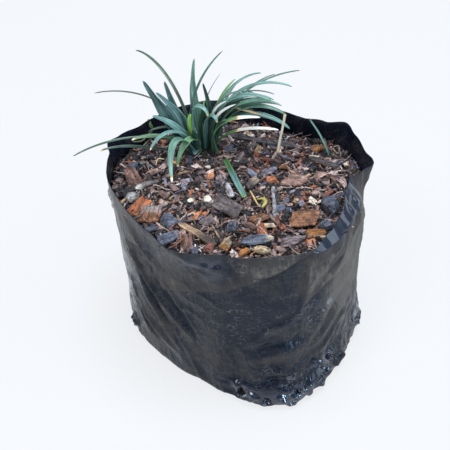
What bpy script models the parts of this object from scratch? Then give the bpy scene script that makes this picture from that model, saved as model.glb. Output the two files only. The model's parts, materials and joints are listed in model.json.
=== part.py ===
"""A Kyoto dwarf mondo grass in a black film nursery bag, as closed solids, in metres, +Z up.

The origin is the middle of the bag's base, on the surface that it stands on, and the front
faces -Y. A bearing is a direction in plan, in degrees: 0 is +X, 90 the back, 270 the front.
Sizes in this file are millimetres, and every mesh is written in metres.
"""
import math
import random

import bmesh
import bpy
from mathutils import Matrix, Vector

MM = 0.001
SEED = 23

# The bag: a 200 mm lay-flat bag of thin film, whose 0.1 mm wall is given a workable thickness.
FILM = 0.8
CLEARANCE = 0.3
SIDES = 72
FILLET = 3.0
SHOULDER_HEIGHT = 71.0
MEAN_RADIUS = 58.0
OUTER_HEIGHTS = [3, 12, 24, 36, 48, 60, SHOULDER_HEIGHT]
INNER_HEIGHTS = [3, 24, 48, SHOULDER_HEIGHT]
RIM_STEPS = [0.35, 0.7, 1.0]
BELLY = -1.0

# Radii of the bag by bearing, at its base, at the shoulder and at the rim, and the rim's height.
BASE_RADII = [(0, 60), (25, 57), (60, 56), (90, 60), (111, 66), (127, 60), (150, 57), (174, 57),
              (190, 54.5), (222, 52), (248, 54), (266, 60), (280, 67), (291, 70), (302, 67), (320, 62),
              (340, 60)]
SHOULDER_RADII = [(0, 57.5), (30, 61), (60, 55), (90, 57), (130, 60), (162, 62), (180, 60), (207, 57),
                  (228, 55), (250, 57), (270, 58), (290, 61), (310, 61), (335, 57.5)]
RIM_RADII = [(3, 62), (14, 60), (24, 61), (35, 64), (43, 57), (54, 53), (66, 54), (85, 57), (107, 60),
             (129, 61), (142, 61), (155, 64), (162, 66), (170, 62), (182, 61), (207, 58), (228, 58),
             (241, 61), (264, 57), (283, 58), (300, 61), (313, 57), (325, 53), (338, 50), (350, 50),
             (357, 56)]
RIM_HEIGHTS = [(0, 88), (35, 88), (60, 87), (110, 88), (145, 87), (162, 88), (185, 88), (215, 86),
               (235, 84), (300, 84), (320, 85), (340, 88)]

# Creases pressed outward in the film: start and end as (bearing, height), half width and height.
CREASES = [
    ((212, 66), (246, 20), 5.0, 1.9),
    ((203, 60), (234, 14), 4.5, 1.8),
    ((196, 78), (222, 36), 4.5, 1.6),
    ((224, 72), (262, 34), 5.0, 1.4),
    ((228, 70), (268, 56), 5.0, 1.6),
    ((268, 56), (312, 74), 5.0, 1.6),
    ((306, 82), (294, 8), 4.0, 2.2),
    ((334, 74), (300, 34), 4.5, 1.8),
    ((344, 56), (306, 20), 4.5, 1.8),
    ((326, 78), (306, 52), 4.0, 1.6),
    ((20, 70), (48, 24), 5.0, 1.6),
    ((62, 76), (84, 20), 5.0, 1.6),
    ((140, 74), (112, 12), 5.0, 1.9),
    ((166, 72), (146, 26), 5.0, 1.6),
]
# The turned-down cuff under the front rim: its middle, half span, depth and thickness.
CUFF_BEARING = 282
CUFF_HALF_SPAN = 22
CUFF_DEPTH = 10.0
CUFF_RISE = 1.6

# Drain holes punched low in the wall.
DRAIN_DIAMETER = 5.0
DRAIN_HEIGHT = 6.0
DRAIN_PEG_LENGTH = 8.0
DRAIN_BEARINGS = [14, 60, 100, 150, 196, 271, 320, 348]

# The potting mix.
MIX_LEVEL = 78.0
MIX_BACKWARD_FALL = 0.045
MOUND_RISE = 2.5
MOUND_WIDTH = 18.0
MIX_RINGS = [0.93, 0.82, 0.7, 0.56, 0.42, 0.28, 0.14]
SMALL_CHIPS = 70
SMALL_CHIP_SPACING = 6.5
SMALL_CHIP_LENGTHS = (5.0, 9.0)
SMALL_CHIP_WIDTHS = (2.8, 4.8)
SMALL_CHIP_THICKNESS = 2.6
SMALL_CHIP_TILT = 14
SMALL_CHIP_LIFT = 0.4
SMALL_CHIP_TRIES = 6000
# How far the middles of the small chips keep from the wall, the crown and the loose pieces.
WALL_CLEAR = 7.5
CROWN_CLEAR = 15.0
PIECE_CLEAR = 4.5
LINE_CLEAR = 6.5

# The plant: an oval crown with three fans of leaves.
CROWN_CENTRE = (-16.5, 26.0)
CROWN_RADII = (9.5, 6.5)
CROWN_PROFILE = [(66, 0.8), (76, 1.0), (80, 0.95), (82, 0.6)]
CROWN_SIDES = 15
HOLE_HEIGHTS = (66 - CLEARANCE, 94)
LEAF_THICKNESS = 0.7
ROOT_WIDTH = 0.72
WIDEST_FROM = 0.3
TAPER_FROM = 0.62
TAPER_POWER = 1.6
TIP_WIDTH = 0.38
LEAF_STATIONS = 7
FAN_ROOTS = {"left": (-20, 24, 80), "middle": (-17, 28, 80), "right": (-13, 27, 80)}

# Each leaf: fan, bearing, swing of the bearing, lean at root, lean at tip, how late it droops,
# length, width, roll of the blade about its own line, and how far from the fan's root it starts.
LEAVES = [
    ("left", 130, 0, 12, 108, 1.3, 64, 2.8, -35, 2),
    ("left", 180, 0, 33, 26, 1.0, 44, 3.4, -60, 2),
    ("left", 155, 0, 14, 64, 1.3, 34, 2.8, -50, 2),
    ("left", 146, 0, 24, 23, 1.3, 35, 3.0, -65, 4),
    ("left", 182, 0, 12, 107, 1.3, 62, 1.8, -10, 2),
    ("left", 198, 0, 20, 63, 1.3, 31, 3.2, -35, 2),
    ("left", 195, 0, 42, 115, 0.8, 62, 2.4, 0, 1),
    ("left", 203, 0, 37, 99, 1.3, 35, 2.4, -20, 2),
    ("left", 203, 0, 67, 102, 4.0, 46, 2.0, -10, 4),
    ("left", 214, 0, -10, 145, 1.0, 38, 2.4, -40, 0),
    ("left", 235, 46, 29, 128, 1.3, 56, 2.8, -20, 2),
    ("left", 243, -2, -10, 177, 1.0, 30, 2.6, -10, 0),
    ("left", 317, 0, -14, 180, 3.5, 35, 3.0, 10, 0),
    ("left", 140, 0, 20, 112, 1.3, 34, 2.4, 0, 2),
    ("middle", 139, -69, 20, 24, 1.3, 42, 2.4, -20, 1),
    ("middle", 37, 0, -16, 66, 1.3, 55, 1.8, 60, -5),
    ("middle", 0, 0, 9, -18, 1.2, 35, 2.4, 80, 2),
    ("middle", 31, 0, -14, 49, 1.3, 40, 0.9, 40, 1),
    ("middle", 314, 0, 1, 137, 3.7, 25, 2.6, 20, 0),
    ("middle", 100, 20, 2, 60, 1.3, 24, 2.4, 20, 3),
    ("middle", 108, 0, 12, 100, 1.3, 26, 2.4, 0, 2),
    ("right", 41, 0, -16, 71, 1.3, 38, 1.8, 30, 2),
    ("right", 31, 0, -14, 106, 1.3, 50, 2.4, 35, 2),
    ("right", 7, 0, -8, 87, 0.8, 61, 2.0, 20, 2),
    ("right", 355, 0, -6, 112, 1.3, 60, 2.2, 20, 2),
    ("right", 330, 0, -5, 95, 1.3, 57, 1.6, 10, 2),
    ("right", 344, 0, -14, 114, 1.3, 51, 3.0, 20, 2),
    ("right", 335, 0, 2, 103, 1.3, 53, 2.6, 20, 2),
    ("right", 340, 0, 4, 117, 1.3, 51, 3.0, 25, 2),
    ("right", 334, 0, -6, 117, 0.8, 54, 3.0, 25, 1),
    ("right", 341, 0, -13, 91, 0.8, 35, 2.8, 20, 1),
    ("right", 331, 0, -12, 87, 0.4, 41, 2.4, 20, 2),
    ("right", 26, 0, -33, 69, 1.3, 29, 1.6, 20, 2),
    ("right", 9, 0, -25, 81, 1.3, 29, 2.2, 20, 2),
    ("right", 75, 0, 10, 95, 1.3, 34, 2.2, 10, 2),
    ("right", 58, 0, 6, 100, 1.3, 40, 2.4, 10, 2),
]

# The dead end of one leaf hangs down from a kink: the leaf's place in the list, its drop and width.
TAIL_LEAF = 28
TAIL_DROP = (-2.8, 0.0, -21.0)
TAIL_WIDTHS = (1.5, 1.3, 1.5)

# Loose leaves: centre line points, width. Heights of the first are above the mix.
FRONT_LEAF = ((-7, 17), (2, -12), 2.9)
FRONT_LEAF_LIFT = 1.1
BACK_LEAF_POINTS = [(44, 22, 70), (42.5, 25, 77), (38, 32, 83.5), (34, 38, 87)]
BACK_LEAF_WIDTH = 1.6

# Large loose pieces, as slabs: name, place, length, width, thickness, yaw, pitch, roll, lift, colour.
SLABS = [
    ("chip_rust_left", (-45, -16), 15, 7.5, 2.6, 55, 16, 8, 1.6, "rust"),
    ("chip_pink_left", (-38.5, -22), 9.5, 10, 3.0, 80, 12, -6, 1.8, "pinkwood"),
    ("chip_slate_left", (-30, -41), 9.5, 5.5, 2.6, 25, 8, 12, 1.2, "slate"),
    ("block_pink_front", (-22.5, -44.5), 8, 5.5, 5.0, 95, 28, 0, 1.6, "pinkwood"),
    ("slab_grey_centre", (-5.5, -17.5), 15, 8.5, 2.6, -42, 4, -8, 1.0, "greywood"),
    ("block_tan_centre", (6, -1), 9, 4.6, 2.4, 52, 8, 10, 1.2, "tanwood"),
    ("chip_tan_front", (-3.5, -45), 7.5, 5.0, 2.4, 60, 18, 0, 1.8, "tanwood"),
    ("flake_slate_front", (7.5, -42.5), 15, 6.2, 1.8, 4, 4, 16, 1.6, "slate"),
    ("flake_cream_front", (10.5, -49), 8.5, 4.0, 1.8, -20, 4, 14, 1.4, "cream"),
    ("chip_orange_mid", (9, -27), 10, 5.0, 1.8, 22, 8, 10, 1.2, "rust"),
    ("flake_brown_front", (22.5, -41), 11.5, 7.0, 1.8, -14, 6, 14, 1.6, "brownwood"),
    ("chip_rust_right", (28.5, -27), 13, 11, 2.6, 12, 10, 14, 2.0, "rust"),
    ("chip_ochre_right", (32.5, -38), 9, 6.0, 1.8, 5, 8, 12, 1.2, "ochre"),
    ("flake_pink_right", (25.5, 3), 12, 9.5, 2.0, -20, 4, 8, 1.0, "pinkwood"),
    ("chip_brown_left", (-49, 6), 13, 6.0, 2.6, 118, 22, 10, 1.8, "brownwood"),
]
# Large loose pieces, as tapering sticks: name, ends in plan, widths at the ends, lift, colour.
STICKS = [
    ("stick_tan_front", (-26, -31.5), (-10.5, -46.5), 3.6, 4.4, 1.2, "tanwood"),
    ("stick_grey_centre", (-5.8, -0.5), (-3.6, -11), 2.2, 3.4, 1.0, "greywood"),
    ("stick_bark_left", (-47, -5), (-37.5, 1), 4.0, 3.0, 1.4, "greywood"),
    ("stick_dark_back", (-6, 41), (28, 31), 3.6, 2.8, 1.2, "darkwood"),
    ("stick_dark_right", (33, 20.5), (46, 13), 2.6, 3.4, 1.4, "darkwood"),
]
# Round pieces: name, place, three half sizes, lift, colour.
LUMPS = [
    ("lump_slate_right", (40, -17), (5.0, 6.2, 4.0), 2.2, "slate"),
    ("lump_slate_left", (-31, -30.5), (4.4, 3.8, 3.4), 1.6, "slate"),
    ("perlite_centre", (-14.5, -13.5), (1.9, 2.1, 1.7), 1.2, "perlite"),
]
TWIG = ((15, -5), (15.2, -26), (14.9, -9), (18.5, -5.5))
TWIG_WIDTH = 1.7
TWIG_LIFT = 1.8

COLOURS = {
    "film": ((0.030, 0.031, 0.034), 0.42),
    "mix": ((0.045, 0.030, 0.024), 0.95),
    "leaf": ((0.040, 0.130, 0.085), 0.55),
    "rust": ((0.36, 0.12, 0.040), 0.85),
    "ochre": ((0.35, 0.16, 0.045), 0.85),
    "pinkwood": ((0.24, 0.13, 0.095), 0.9),
    "brownwood": ((0.12, 0.065, 0.045), 0.9),
    "tanwood": ((0.38, 0.25, 0.14), 0.9),
    "greywood": ((0.11, 0.095, 0.085), 0.9),
    "darkwood": ((0.045, 0.037, 0.034), 0.9),
    "slate": ((0.085, 0.095, 0.125), 0.75),
    "cream": ((0.62, 0.48, 0.30), 0.85),
    "twig": ((0.36, 0.34, 0.34), 0.85),
    "perlite": ((0.75, 0.70, 0.60), 0.8),
}


def clear_scene():
    """Remove what the file opened with."""
    for item in list(bpy.data.objects):
        bpy.data.objects.remove(item, do_unlink=True)


def make_material(name):
    """A plain Principled material of one colour."""
    if name in bpy.data.materials:
        return bpy.data.materials[name]
    colour, roughness = COLOURS[name]
    material = bpy.data.materials.new(name)
    material.use_nodes = True
    shader = material.node_tree.nodes["Principled BSDF"]
    shader.inputs["Base Color"].default_value = (*colour, 1.0)
    shader.inputs["Roughness"].default_value = roughness
    shader.inputs["Metallic"].default_value = 0.0
    return material


def add_object(name, shape, colour=None, smooth=False):
    """Turn a bmesh in millimetres into an object in metres, with its faces turned outward."""
    bmesh.ops.recalc_face_normals(shape, faces=shape.faces)
    bmesh.ops.scale(shape, vec=(MM, MM, MM), verts=shape.verts)
    for face in shape.faces:
        face.smooth = smooth
    mesh = bpy.data.meshes.new(name)
    shape.to_mesh(mesh)
    shape.free()
    item = bpy.data.objects.new(name, mesh)
    bpy.context.scene.collection.objects.link(item)
    if colour:
        mesh.materials.append(make_material(colour))
    return item


def apply_boolean(target, operands, operation, solver="EXACT"):
    """Join to, or cut from, the target all the operands at once, and remove them."""
    group = bpy.data.collections.new("operands")
    for item in operands:
        bpy.context.scene.collection.objects.unlink(item)
        group.objects.link(item)
    bpy.context.scene.collection.children.link(group)
    modifier = target.modifiers.new(operation.lower(), "BOOLEAN")
    modifier.operand_type = "COLLECTION"
    modifier.collection = group
    modifier.operation = operation
    modifier.solver = solver
    evaluated = target.evaluated_get(bpy.context.evaluated_depsgraph_get())
    result = bpy.data.meshes.new_from_object(evaluated)
    target.modifiers.remove(modifier)
    result.name = target.name
    target.data = result
    for item in list(group.objects):
        bpy.data.objects.remove(item, do_unlink=True)
    bpy.data.collections.remove(group)


def keep_outer_shell(item):
    """Fill the hollows that joining has sealed and drop loose scraps: only the widest shell stays."""
    shape = bmesh.new()
    shape.from_mesh(item.data)
    unseen = set(shape.faces)
    shells = []
    while unseen:
        front = [unseen.pop()]
        shell = list(front)
        while front:
            face = front.pop()
            for edge in face.edges:
                for other in edge.link_faces:
                    if other in unseen:
                        unseen.remove(other)
                        front.append(other)
                        shell.append(other)
        shells.append(shell)
    widest = max(shells, key=lambda shell: sum(face.calc_area() for face in shell))
    others = [face for shell in shells if shell is not widest for face in shell]
    bmesh.ops.delete(shape, geom=others, context="FACES")
    shape.to_mesh(item.data)
    shape.free()


def ring_value(table, bearing):
    """The value at a bearing, eased between the neighbouring entries round the ring."""
    bearing = bearing % 360
    entries = table + [(table[0][0] + 360, table[0][1])]
    if bearing < table[0][0]:
        bearing += 360
    for (start, low), (end, high) in zip(entries, entries[1:]):
        if start <= bearing <= end:
            share = (bearing - start) / (end - start)
            eased = 0.5 - 0.5 * math.cos(math.pi * share)
            return low + (high - low) * eased
    return table[-1][1]


def mix_level(x, y):
    """Height of the potting mix without its chips, highest at the front and at the crown."""
    distance = math.hypot(x - CROWN_CENTRE[0], y - CROWN_CENTRE[1])
    mound = MOUND_RISE * math.exp(-((distance / MOUND_WIDTH) ** 2))
    return MIX_LEVEL - MIX_BACKWARD_FALL * y + mound


def mix_relief(x, y):
    """Low humps and hollows of the mix."""
    broad = 0.7 * math.sin(x / 6.1 + 0.6) * math.cos(y / 7.3 - 0.4)
    fine = 0.35 * math.sin(x / 2.9 + y / 4.3) * math.cos(y / 3.1 - x / 5.7)
    return broad + fine


def body_radius(bearing, height):
    """Outer radius of the bag without its creases, straight between the heights it is set at."""
    base = ring_value(BASE_RADII, bearing)
    shoulder = ring_value(SHOULDER_RADII, bearing)
    rim = ring_value(RIM_RADII, bearing)
    knots = [
        (0, base - FILLET),
        (FILLET, base),
        (24, base + 0.35 * (shoulder - base) + BELLY),
        (48, base + 0.70 * (shoulder - base) + BELLY),
        (SHOULDER_HEIGHT, shoulder),
        (ring_value(RIM_HEIGHTS, bearing), rim),
    ]
    for (low, inner), (high, outer) in zip(knots, knots[1:]):
        if height <= high:
            return inner + (outer - inner) * (height - low) / (high - low)
    return rim


def crease_height(bearing, height):
    """How far the creases and the cuff push the film out."""
    arc = math.radians(1) * MEAN_RADIUS
    rise = 0.0
    for start, end, half_width, tallest in CREASES:
        along = Vector(((end[0] - start[0]) * arc, end[1] - start[1]))
        offset = ((bearing - start[0] + 180) % 360 - 180) * arc
        point = Vector((offset, height - start[1]))
        share = max(0.0, min(1.0, point.dot(along) / along.length_squared))
        away = (point - along * share).length / half_width
        if away < 1:
            swell = math.sin(math.pi * (0.15 + 0.7 * share))
            rise = max(rise, tallest * swell * (1 - away * away) ** 2)
    return max(rise, cuff_height(bearing, height))


def cuff_height(bearing, height):
    """The half-moon cuff, a raised lap of film below the front rim."""
    across = abs((bearing - CUFF_BEARING + 180) % 360 - 180) / CUFF_HALF_SPAN
    if across >= 1:
        return 0.0
    drop = ring_value(RIM_HEIGHTS, bearing) - height
    reach = CUFF_DEPTH * math.sqrt(1 - across * across)
    return CUFF_RISE if 0.5 < drop < reach else 0.0


def wall_point(bearing, height, offset=0.0):
    """A point of the bag's wall, or one that lies the offset outside it."""
    radius = body_radius(bearing, height) + offset
    angle = math.radians(bearing)
    return Vector((radius * math.cos(angle), radius * math.sin(angle), height))


def bearings():
    """The bearings of the bag's and the mix's corners."""
    return [360 * step / SIDES for step in range(SIDES)]


def add_ring(shape, points):
    """Vertices for one closed ring."""
    return [shape.verts.new(point) for point in points]


def skin(shape, lower, upper):
    """Triangles between two rings, always split the same way, so that nested walls stay apart."""
    count = len(lower)
    for step in range(count):
        following = (step + 1) % count
        shape.faces.new((lower[step], lower[following], upper[following]))
        shape.faces.new((lower[step], upper[following], upper[step]))


def close_with_pole(shape, ring, point):
    """A fan of triangles from a ring to a point."""
    pole = shape.verts.new(point)
    for step, vertex in enumerate(ring):
        shape.faces.new((vertex, ring[(step + 1) % len(ring)], pole))


def mix_edge_height(bearing):
    """Height at which the mix meets the wall."""
    radius = ring_value(SHOULDER_RADII, bearing)
    angle = math.radians(bearing)
    return mix_level(radius * math.cos(angle), radius * math.sin(angle))


def make_bag():
    """The open film bag: outer wall with creases, rim, plain inner wall and floor."""
    shape = bmesh.new()
    outer = [add_ring(shape, [wall_point(b, 0) for b in bearings()])]
    for height in OUTER_HEIGHTS:
        outer.append(add_ring(shape, [
            wall_point(b, height, crease_height(b, height)) for b in bearings()]))
    for share in RIM_STEPS:
        points = []
        for b in bearings():
            height = SHOULDER_HEIGHT + share * (ring_value(RIM_HEIGHTS, b) - SHOULDER_HEIGHT)
            points.append(wall_point(b, height, crease_height(b, height)))
        outer.append(add_ring(shape, points))
    inner = [add_ring(shape, [wall_point(b, FILM, -FILM) for b in bearings()])]
    for height in INNER_HEIGHTS:
        inner.append(add_ring(shape, [wall_point(b, height, -FILM) for b in bearings()]))
    inner.append(add_ring(shape, [
        wall_point(b, mix_edge_height(b), -FILM) for b in bearings()]))
    inner.append(add_ring(shape, [
        wall_point(b, ring_value(RIM_HEIGHTS, b), -FILM) for b in bearings()]))
    for wall in (outer, inner):
        for lower, upper in zip(wall, wall[1:]):
            skin(shape, lower, upper)
    skin(shape, inner[-1], outer[-1])
    close_with_pole(shape, outer[0], (0, 0, 0))
    close_with_pole(shape, inner[0], (0, 0, FILM))
    bag = add_object("bag", shape, "film", smooth=True)
    apply_boolean(bag, [drain_cutter(b) for b in DRAIN_BEARINGS], "DIFFERENCE")
    return bag


def drain_cutter(bearing):
    """A short peg through the wall where a drain hole is punched."""
    shape = bmesh.new()
    middle = wall_point(bearing, DRAIN_HEIGHT, -FILM / 2)
    turn = Matrix.Rotation(math.radians(bearing), 4, "Z") @ Matrix.Rotation(math.radians(90), 4, "Y")
    bmesh.ops.create_cone(shape, cap_ends=True, segments=12, radius1=DRAIN_DIAMETER / 2,
                          radius2=DRAIN_DIAMETER / 2, depth=DRAIN_PEG_LENGTH,
                          matrix=Matrix.Translation(middle) @ turn)
    return add_object("drain_cutter", shape)


def make_mix(cutters, blocked):
    """The potting mix: the inside of the bag less a small gap, a rough top and its small chips."""
    inset = -FILM - CLEARANCE
    shape = bmesh.new()
    rings = [add_ring(shape, [wall_point(b, FILM + CLEARANCE, inset) for b in bearings()])]
    for height in INNER_HEIGHTS:
        rings.append(add_ring(shape, [wall_point(b, height, inset) for b in bearings()]))
    rings.append(add_ring(shape, [
        wall_point(b, mix_edge_height(b), inset) for b in bearings()]))
    edge = [vertex.co.copy() for vertex in rings[-1]]
    for share in MIX_RINGS:
        points = []
        for corner in edge:
            x, y = corner.x * share, corner.y * share
            points.append((x, y, mix_level(x, y) + mix_relief(x, y)))
        rings.append(add_ring(shape, points))
    for lower, upper in zip(rings, rings[1:]):
        skin(shape, lower, upper)
    close_with_pole(shape, rings[0], (0, 0, FILM + CLEARANCE))
    close_with_pole(shape, rings[-1], (0, 0, mix_level(0, 0) + mix_relief(0, 0)))
    mix = add_object("potting_mix", shape, "mix")
    apply_boolean(mix, small_chips(blocked), "UNION")
    apply_boolean(mix, cutters, "DIFFERENCE")
    keep_outer_shell(mix)
    return mix


def small_chips(blocked):
    """Small bark chips over the top of the mix, clear of the large pieces and of the crown."""
    rng = random.Random(SEED)
    placed = []
    chips = []
    tries = 0
    while len(chips) < SMALL_CHIPS and tries < SMALL_CHIP_TRIES:
        tries += 1
        bearing = rng.uniform(0, 360)
        reach = body_radius(bearing, MIX_LEVEL) - WALL_CLEAR
        radius = reach * math.sqrt(rng.random())
        x = radius * math.cos(math.radians(bearing))
        y = radius * math.sin(math.radians(bearing))
        if any(math.hypot(x - px, y - py) < clear for px, py, clear in blocked):
            continue
        if any(math.hypot(x - px, y - py) < SMALL_CHIP_SPACING for px, py in placed):
            continue
        placed.append((x, y))
        length = rng.uniform(*SMALL_CHIP_LENGTHS)
        width = rng.uniform(*SMALL_CHIP_WIDTHS)
        yaw = rng.uniform(0, 360)
        pitch = rng.uniform(-SMALL_CHIP_TILT, SMALL_CHIP_TILT)
        roll = rng.uniform(-SMALL_CHIP_TILT, SMALL_CHIP_TILT)
        chips.append(slab("small_chip", (x, y), length, width, SMALL_CHIP_THICKNESS, yaw, pitch,
                          roll, SMALL_CHIP_LIFT, corners=4))
    return chips


def slab(name, place, length, width, thickness, yaw, pitch, roll, lift, colour=None, grow=0.0,
         corners=7):
    """A bark slab with an uneven outline. Lift is its middle's height over the mix."""
    rng = random.Random(name + str(place))
    shape = bmesh.new()
    rims = []
    half = thickness / 2 + grow
    jitter = [rng.uniform(0.72, 1.0) for _ in range(corners)]
    swing = [rng.uniform(-0.25, 0.25) for _ in range(corners)]
    for level, inset in ((-half, 1.0), (half, 0.9)):
        ring = []
        for step in range(corners):
            angle = math.radians(360 * (step + 0.5 + swing[step]) / corners)
            stretch = jitter[step] * inset
            # A squarish outline: each direction is pushed out toward its corner.
            x = math.copysign(abs(math.cos(angle)) ** 0.6, math.cos(angle))
            y = math.copysign(abs(math.sin(angle)) ** 0.6, math.sin(angle))
            ring.append(shape.verts.new(((length / 2 * stretch + grow) * x,
                                         (width / 2 * stretch + grow) * y, level)))
        rims.append(ring)
    skin(shape, rims[0], rims[1])
    shape.faces.new(rims[0])
    shape.faces.new(rims[1])
    x, y = place
    turn = Matrix.Rotation(math.radians(yaw), 4, "Z") @ Matrix.Rotation(math.radians(-pitch), 4, "Y")
    turn = turn @ Matrix.Rotation(math.radians(roll), 4, "X")
    height = mix_level(x, y) + mix_relief(x, y) + lift
    bmesh.ops.transform(shape, matrix=Matrix.Translation((x, y, height)) @ turn, verts=shape.verts)
    return add_object(name, shape, colour)


def tube(shape, points, radii, sides=6):
    """A closed tube along points, with flat ends."""
    rings = []
    for index, point in enumerate(points):
        before = Vector(points[max(index - 1, 0)])
        after = Vector(points[min(index + 1, len(points) - 1)])
        frame = (after - before).to_track_quat("Z", "X").to_matrix()
        ring = []
        for step in range(sides):
            angle = math.radians(360 * (step + 0.5) / sides)
            local = Vector((math.cos(angle), math.sin(angle), 0)) * radii[index]
            ring.append(shape.verts.new(Vector(point) + frame @ local))
        rings.append(ring)
    for lower, upper in zip(rings, rings[1:]):
        skin(shape, lower, upper)
    shape.faces.new(rings[0])
    shape.faces.new(rings[-1])


def stick(name, start, end, width_start, width_end, lift, colour=None, grow=0.0):
    """A tapering piece of wood lying along the mix."""
    shape = bmesh.new()
    along = (Vector(end) - Vector(start)).normalized() * grow
    points = []
    radii = []
    for share in (0, 0.5, 1):
        x = start[0] + (end[0] - start[0]) * share + along.x * (2 * share - 1)
        y = start[1] + (end[1] - start[1]) * share + along.y * (2 * share - 1)
        points.append((x, y, mix_level(x, y) + lift))
        radii.append((width_start + (width_end - width_start) * share) / 2 + grow)
    tube(shape, points, radii)
    return add_object(name, shape, colour)


def lump(name, place, half_sizes, lift, colour=None, grow=0.0):
    """A rounded piece."""
    shape = bmesh.new()
    bmesh.ops.create_icosphere(shape, subdivisions=2, radius=1.0)
    rng = random.Random(name)
    height = mix_level(*place) + lift
    for vertex in shape.verts:
        bump = rng.uniform(0.88, 1.06)
        vertex.co = Vector([vertex.co[axis] * (half_sizes[axis] * bump + grow) for axis in range(3)])
        vertex.co += Vector((place[0], place[1], height))
    return add_object(name, shape, colour)


def twig(name, colour=None, grow=0.0):
    """The pale forked twig."""
    start, end, fork, side_end = TWIG
    height = mix_level(*fork) + TWIG_LIFT
    shape = bmesh.new()
    tube(shape, [(start[0], start[1] + grow, height),
                 (fork[0], fork[1], height),
                 (end[0], end[1] - grow, height - 0.6)],
         [TWIG_WIDTH / 2 + grow, TWIG_WIDTH / 2 + 0.1 + grow, TWIG_WIDTH / 2 + 0.3 + grow])
    main = add_object(name, shape, colour)
    branch = bmesh.new()
    tube(branch, [(fork[0], fork[1], height), (side_end[0] + grow, side_end[1] + grow, height + 0.8)],
         [TWIG_WIDTH / 2 - 0.1 + grow, TWIG_WIDTH / 2 - 0.3 + grow])
    apply_boolean(main, [add_object("branch", branch)], "UNION")
    return main


def leaf_line(fan, bearing, swing, root_lean, tip_lean, droop, length, start):
    """Points and directions down a leaf's middle, from its root to its tip."""
    angle = math.radians(bearing)
    root = FAN_ROOTS[fan]
    point = Vector((root[0] + start * math.cos(angle), root[1] + start * math.sin(angle), root[2]))
    fine = 4
    points = [point.copy()]
    steps = (LEAF_STATIONS - 1) * fine
    directions = []
    for step in range(steps + 1):
        share = step / steps
        lean = math.radians(root_lean + (tip_lean - root_lean) * share ** droop)
        heading = math.radians(bearing + swing * share)
        direction = Vector((math.sin(lean) * math.cos(heading), math.sin(lean) * math.sin(heading),
                            math.cos(lean)))
        if step % fine == 0:
            directions.append((direction, heading))
        if step < steps:
            point = point + direction * (length / steps)
            if (step + 1) % fine == 0:
                points.append(point.copy())
    return points, directions


def blade_width(share):
    """Width of a leaf along its length, as a share of its widest."""
    root = ROOT_WIDTH + (1 - ROOT_WIDTH) * min(1.0, share / WIDEST_FROM)
    past = max(0.0, share - TAPER_FROM) / (1 - TAPER_FROM)
    return root * (1.0 - (1 - TIP_WIDTH) * past ** TAPER_POWER)


def blade(points, sides, widths, grow=0.0):
    """A closed strap of four-cornered sections, split alike on both faces."""
    shape = bmesh.new()
    rings = []
    for index, point in enumerate(points):
        before = points[max(index - 1, 0)]
        after = points[min(index + 1, len(points) - 1)]
        along = (after - before).normalized()
        side = sides[index]
        normal = along.cross(side).normalized()
        reach = along * (grow * ((index == len(points) - 1) - (index == 0)))
        half = widths[index] / 2 + grow
        thick = LEAF_THICKNESS / 2 + grow
        rings.append([shape.verts.new(point + reach + side * (half * a) + normal * (thick * b))
                      for a, b in ((-1, -1), (1, -1), (1, 1), (-1, 1))])
    for lower, upper in zip(rings, rings[1:]):
        skin(shape, lower, upper)
    shape.faces.new(rings[0])
    shape.faces.new(rings[-1])
    return shape


def leaf(fan, bearing, swing, root_lean, tip_lean, droop, length, width, roll, start):
    """One leaf of the plant, as a solid strap."""
    points, directions = leaf_line(fan, bearing, swing, root_lean, tip_lean, droop, length, start)
    sides = []
    widths = []
    for index, (direction, heading) in enumerate(directions):
        share = index / (LEAF_STATIONS - 1)
        level = Vector((-math.sin(heading), math.cos(heading), 0))
        sides.append(Matrix.Rotation(math.radians(roll), 3, direction) @ level)
        widths.append(width * blade_width(share))
    return add_object("leaf", blade(points, sides, widths))


def oval_plug(name, profile, grow=0.0):
    """A closed oval plug through heights and shares of the crown's radii."""
    shape = bmesh.new()
    rings = []
    for height, share in profile:
        points = []
        for step in range(CROWN_SIDES):
            angle = 2 * math.pi * step / CROWN_SIDES
            points.append((CROWN_CENTRE[0] + (CROWN_RADII[0] * share + grow) * math.cos(angle),
                           CROWN_CENTRE[1] + (CROWN_RADII[1] * share + grow) * math.sin(angle),
                           height))
        rings.append(add_ring(shape, points))
    for lower, upper in zip(rings, rings[1:]):
        skin(shape, lower, upper)
    shape.faces.new(rings[0])
    shape.faces.new(rings[-1])
    return add_object(name, shape)


def dead_tail():
    """The dead end that hangs from the tip of its leaf."""
    row = LEAVES[TAIL_LEAF]
    line, _ = leaf_line(*row[:7], row[9])
    start = line[-1].lerp(line[-2], 0.15)
    drop = Vector(TAIL_DROP)
    points = [start, start + drop * 0.5, start + drop]
    return add_object("tail", blade(points, [Vector((1, 0, 0))] * 3, TAIL_WIDTHS))


def make_clump():
    """The plant: crown and leaves grown together."""
    clump = oval_plug("mondo_clump", CROWN_PROFILE)
    leaves = [leaf(*row) for row in LEAVES]
    apply_boolean(clump, leaves + [dead_tail()], "UNION", solver="MANIFOLD")
    keep_outer_shell(clump)
    clump.data.materials.clear()
    clump.data.materials.append(make_material("leaf"))
    return clump


def front_leaf(name, colour=None, grow=0.0):
    """The cut length of leaf lying on the mix."""
    start, end, width = FRONT_LEAF
    points = []
    for share in (0, 0.35, 0.7, 1):
        x = start[0] + (end[0] - start[0]) * share
        y = start[1] + (end[1] - start[1]) * share
        points.append(Vector((x, y, mix_level(x, y) + FRONT_LEAF_LIFT)))
    along = (points[-1] - points[0]).normalized()
    side = along.cross(Vector((0, 0, 1))).normalized()
    shape = blade(points, [side] * 4, [width * 0.85, width, width, width * 0.8], grow)
    return add_object(name, shape, colour)


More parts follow.
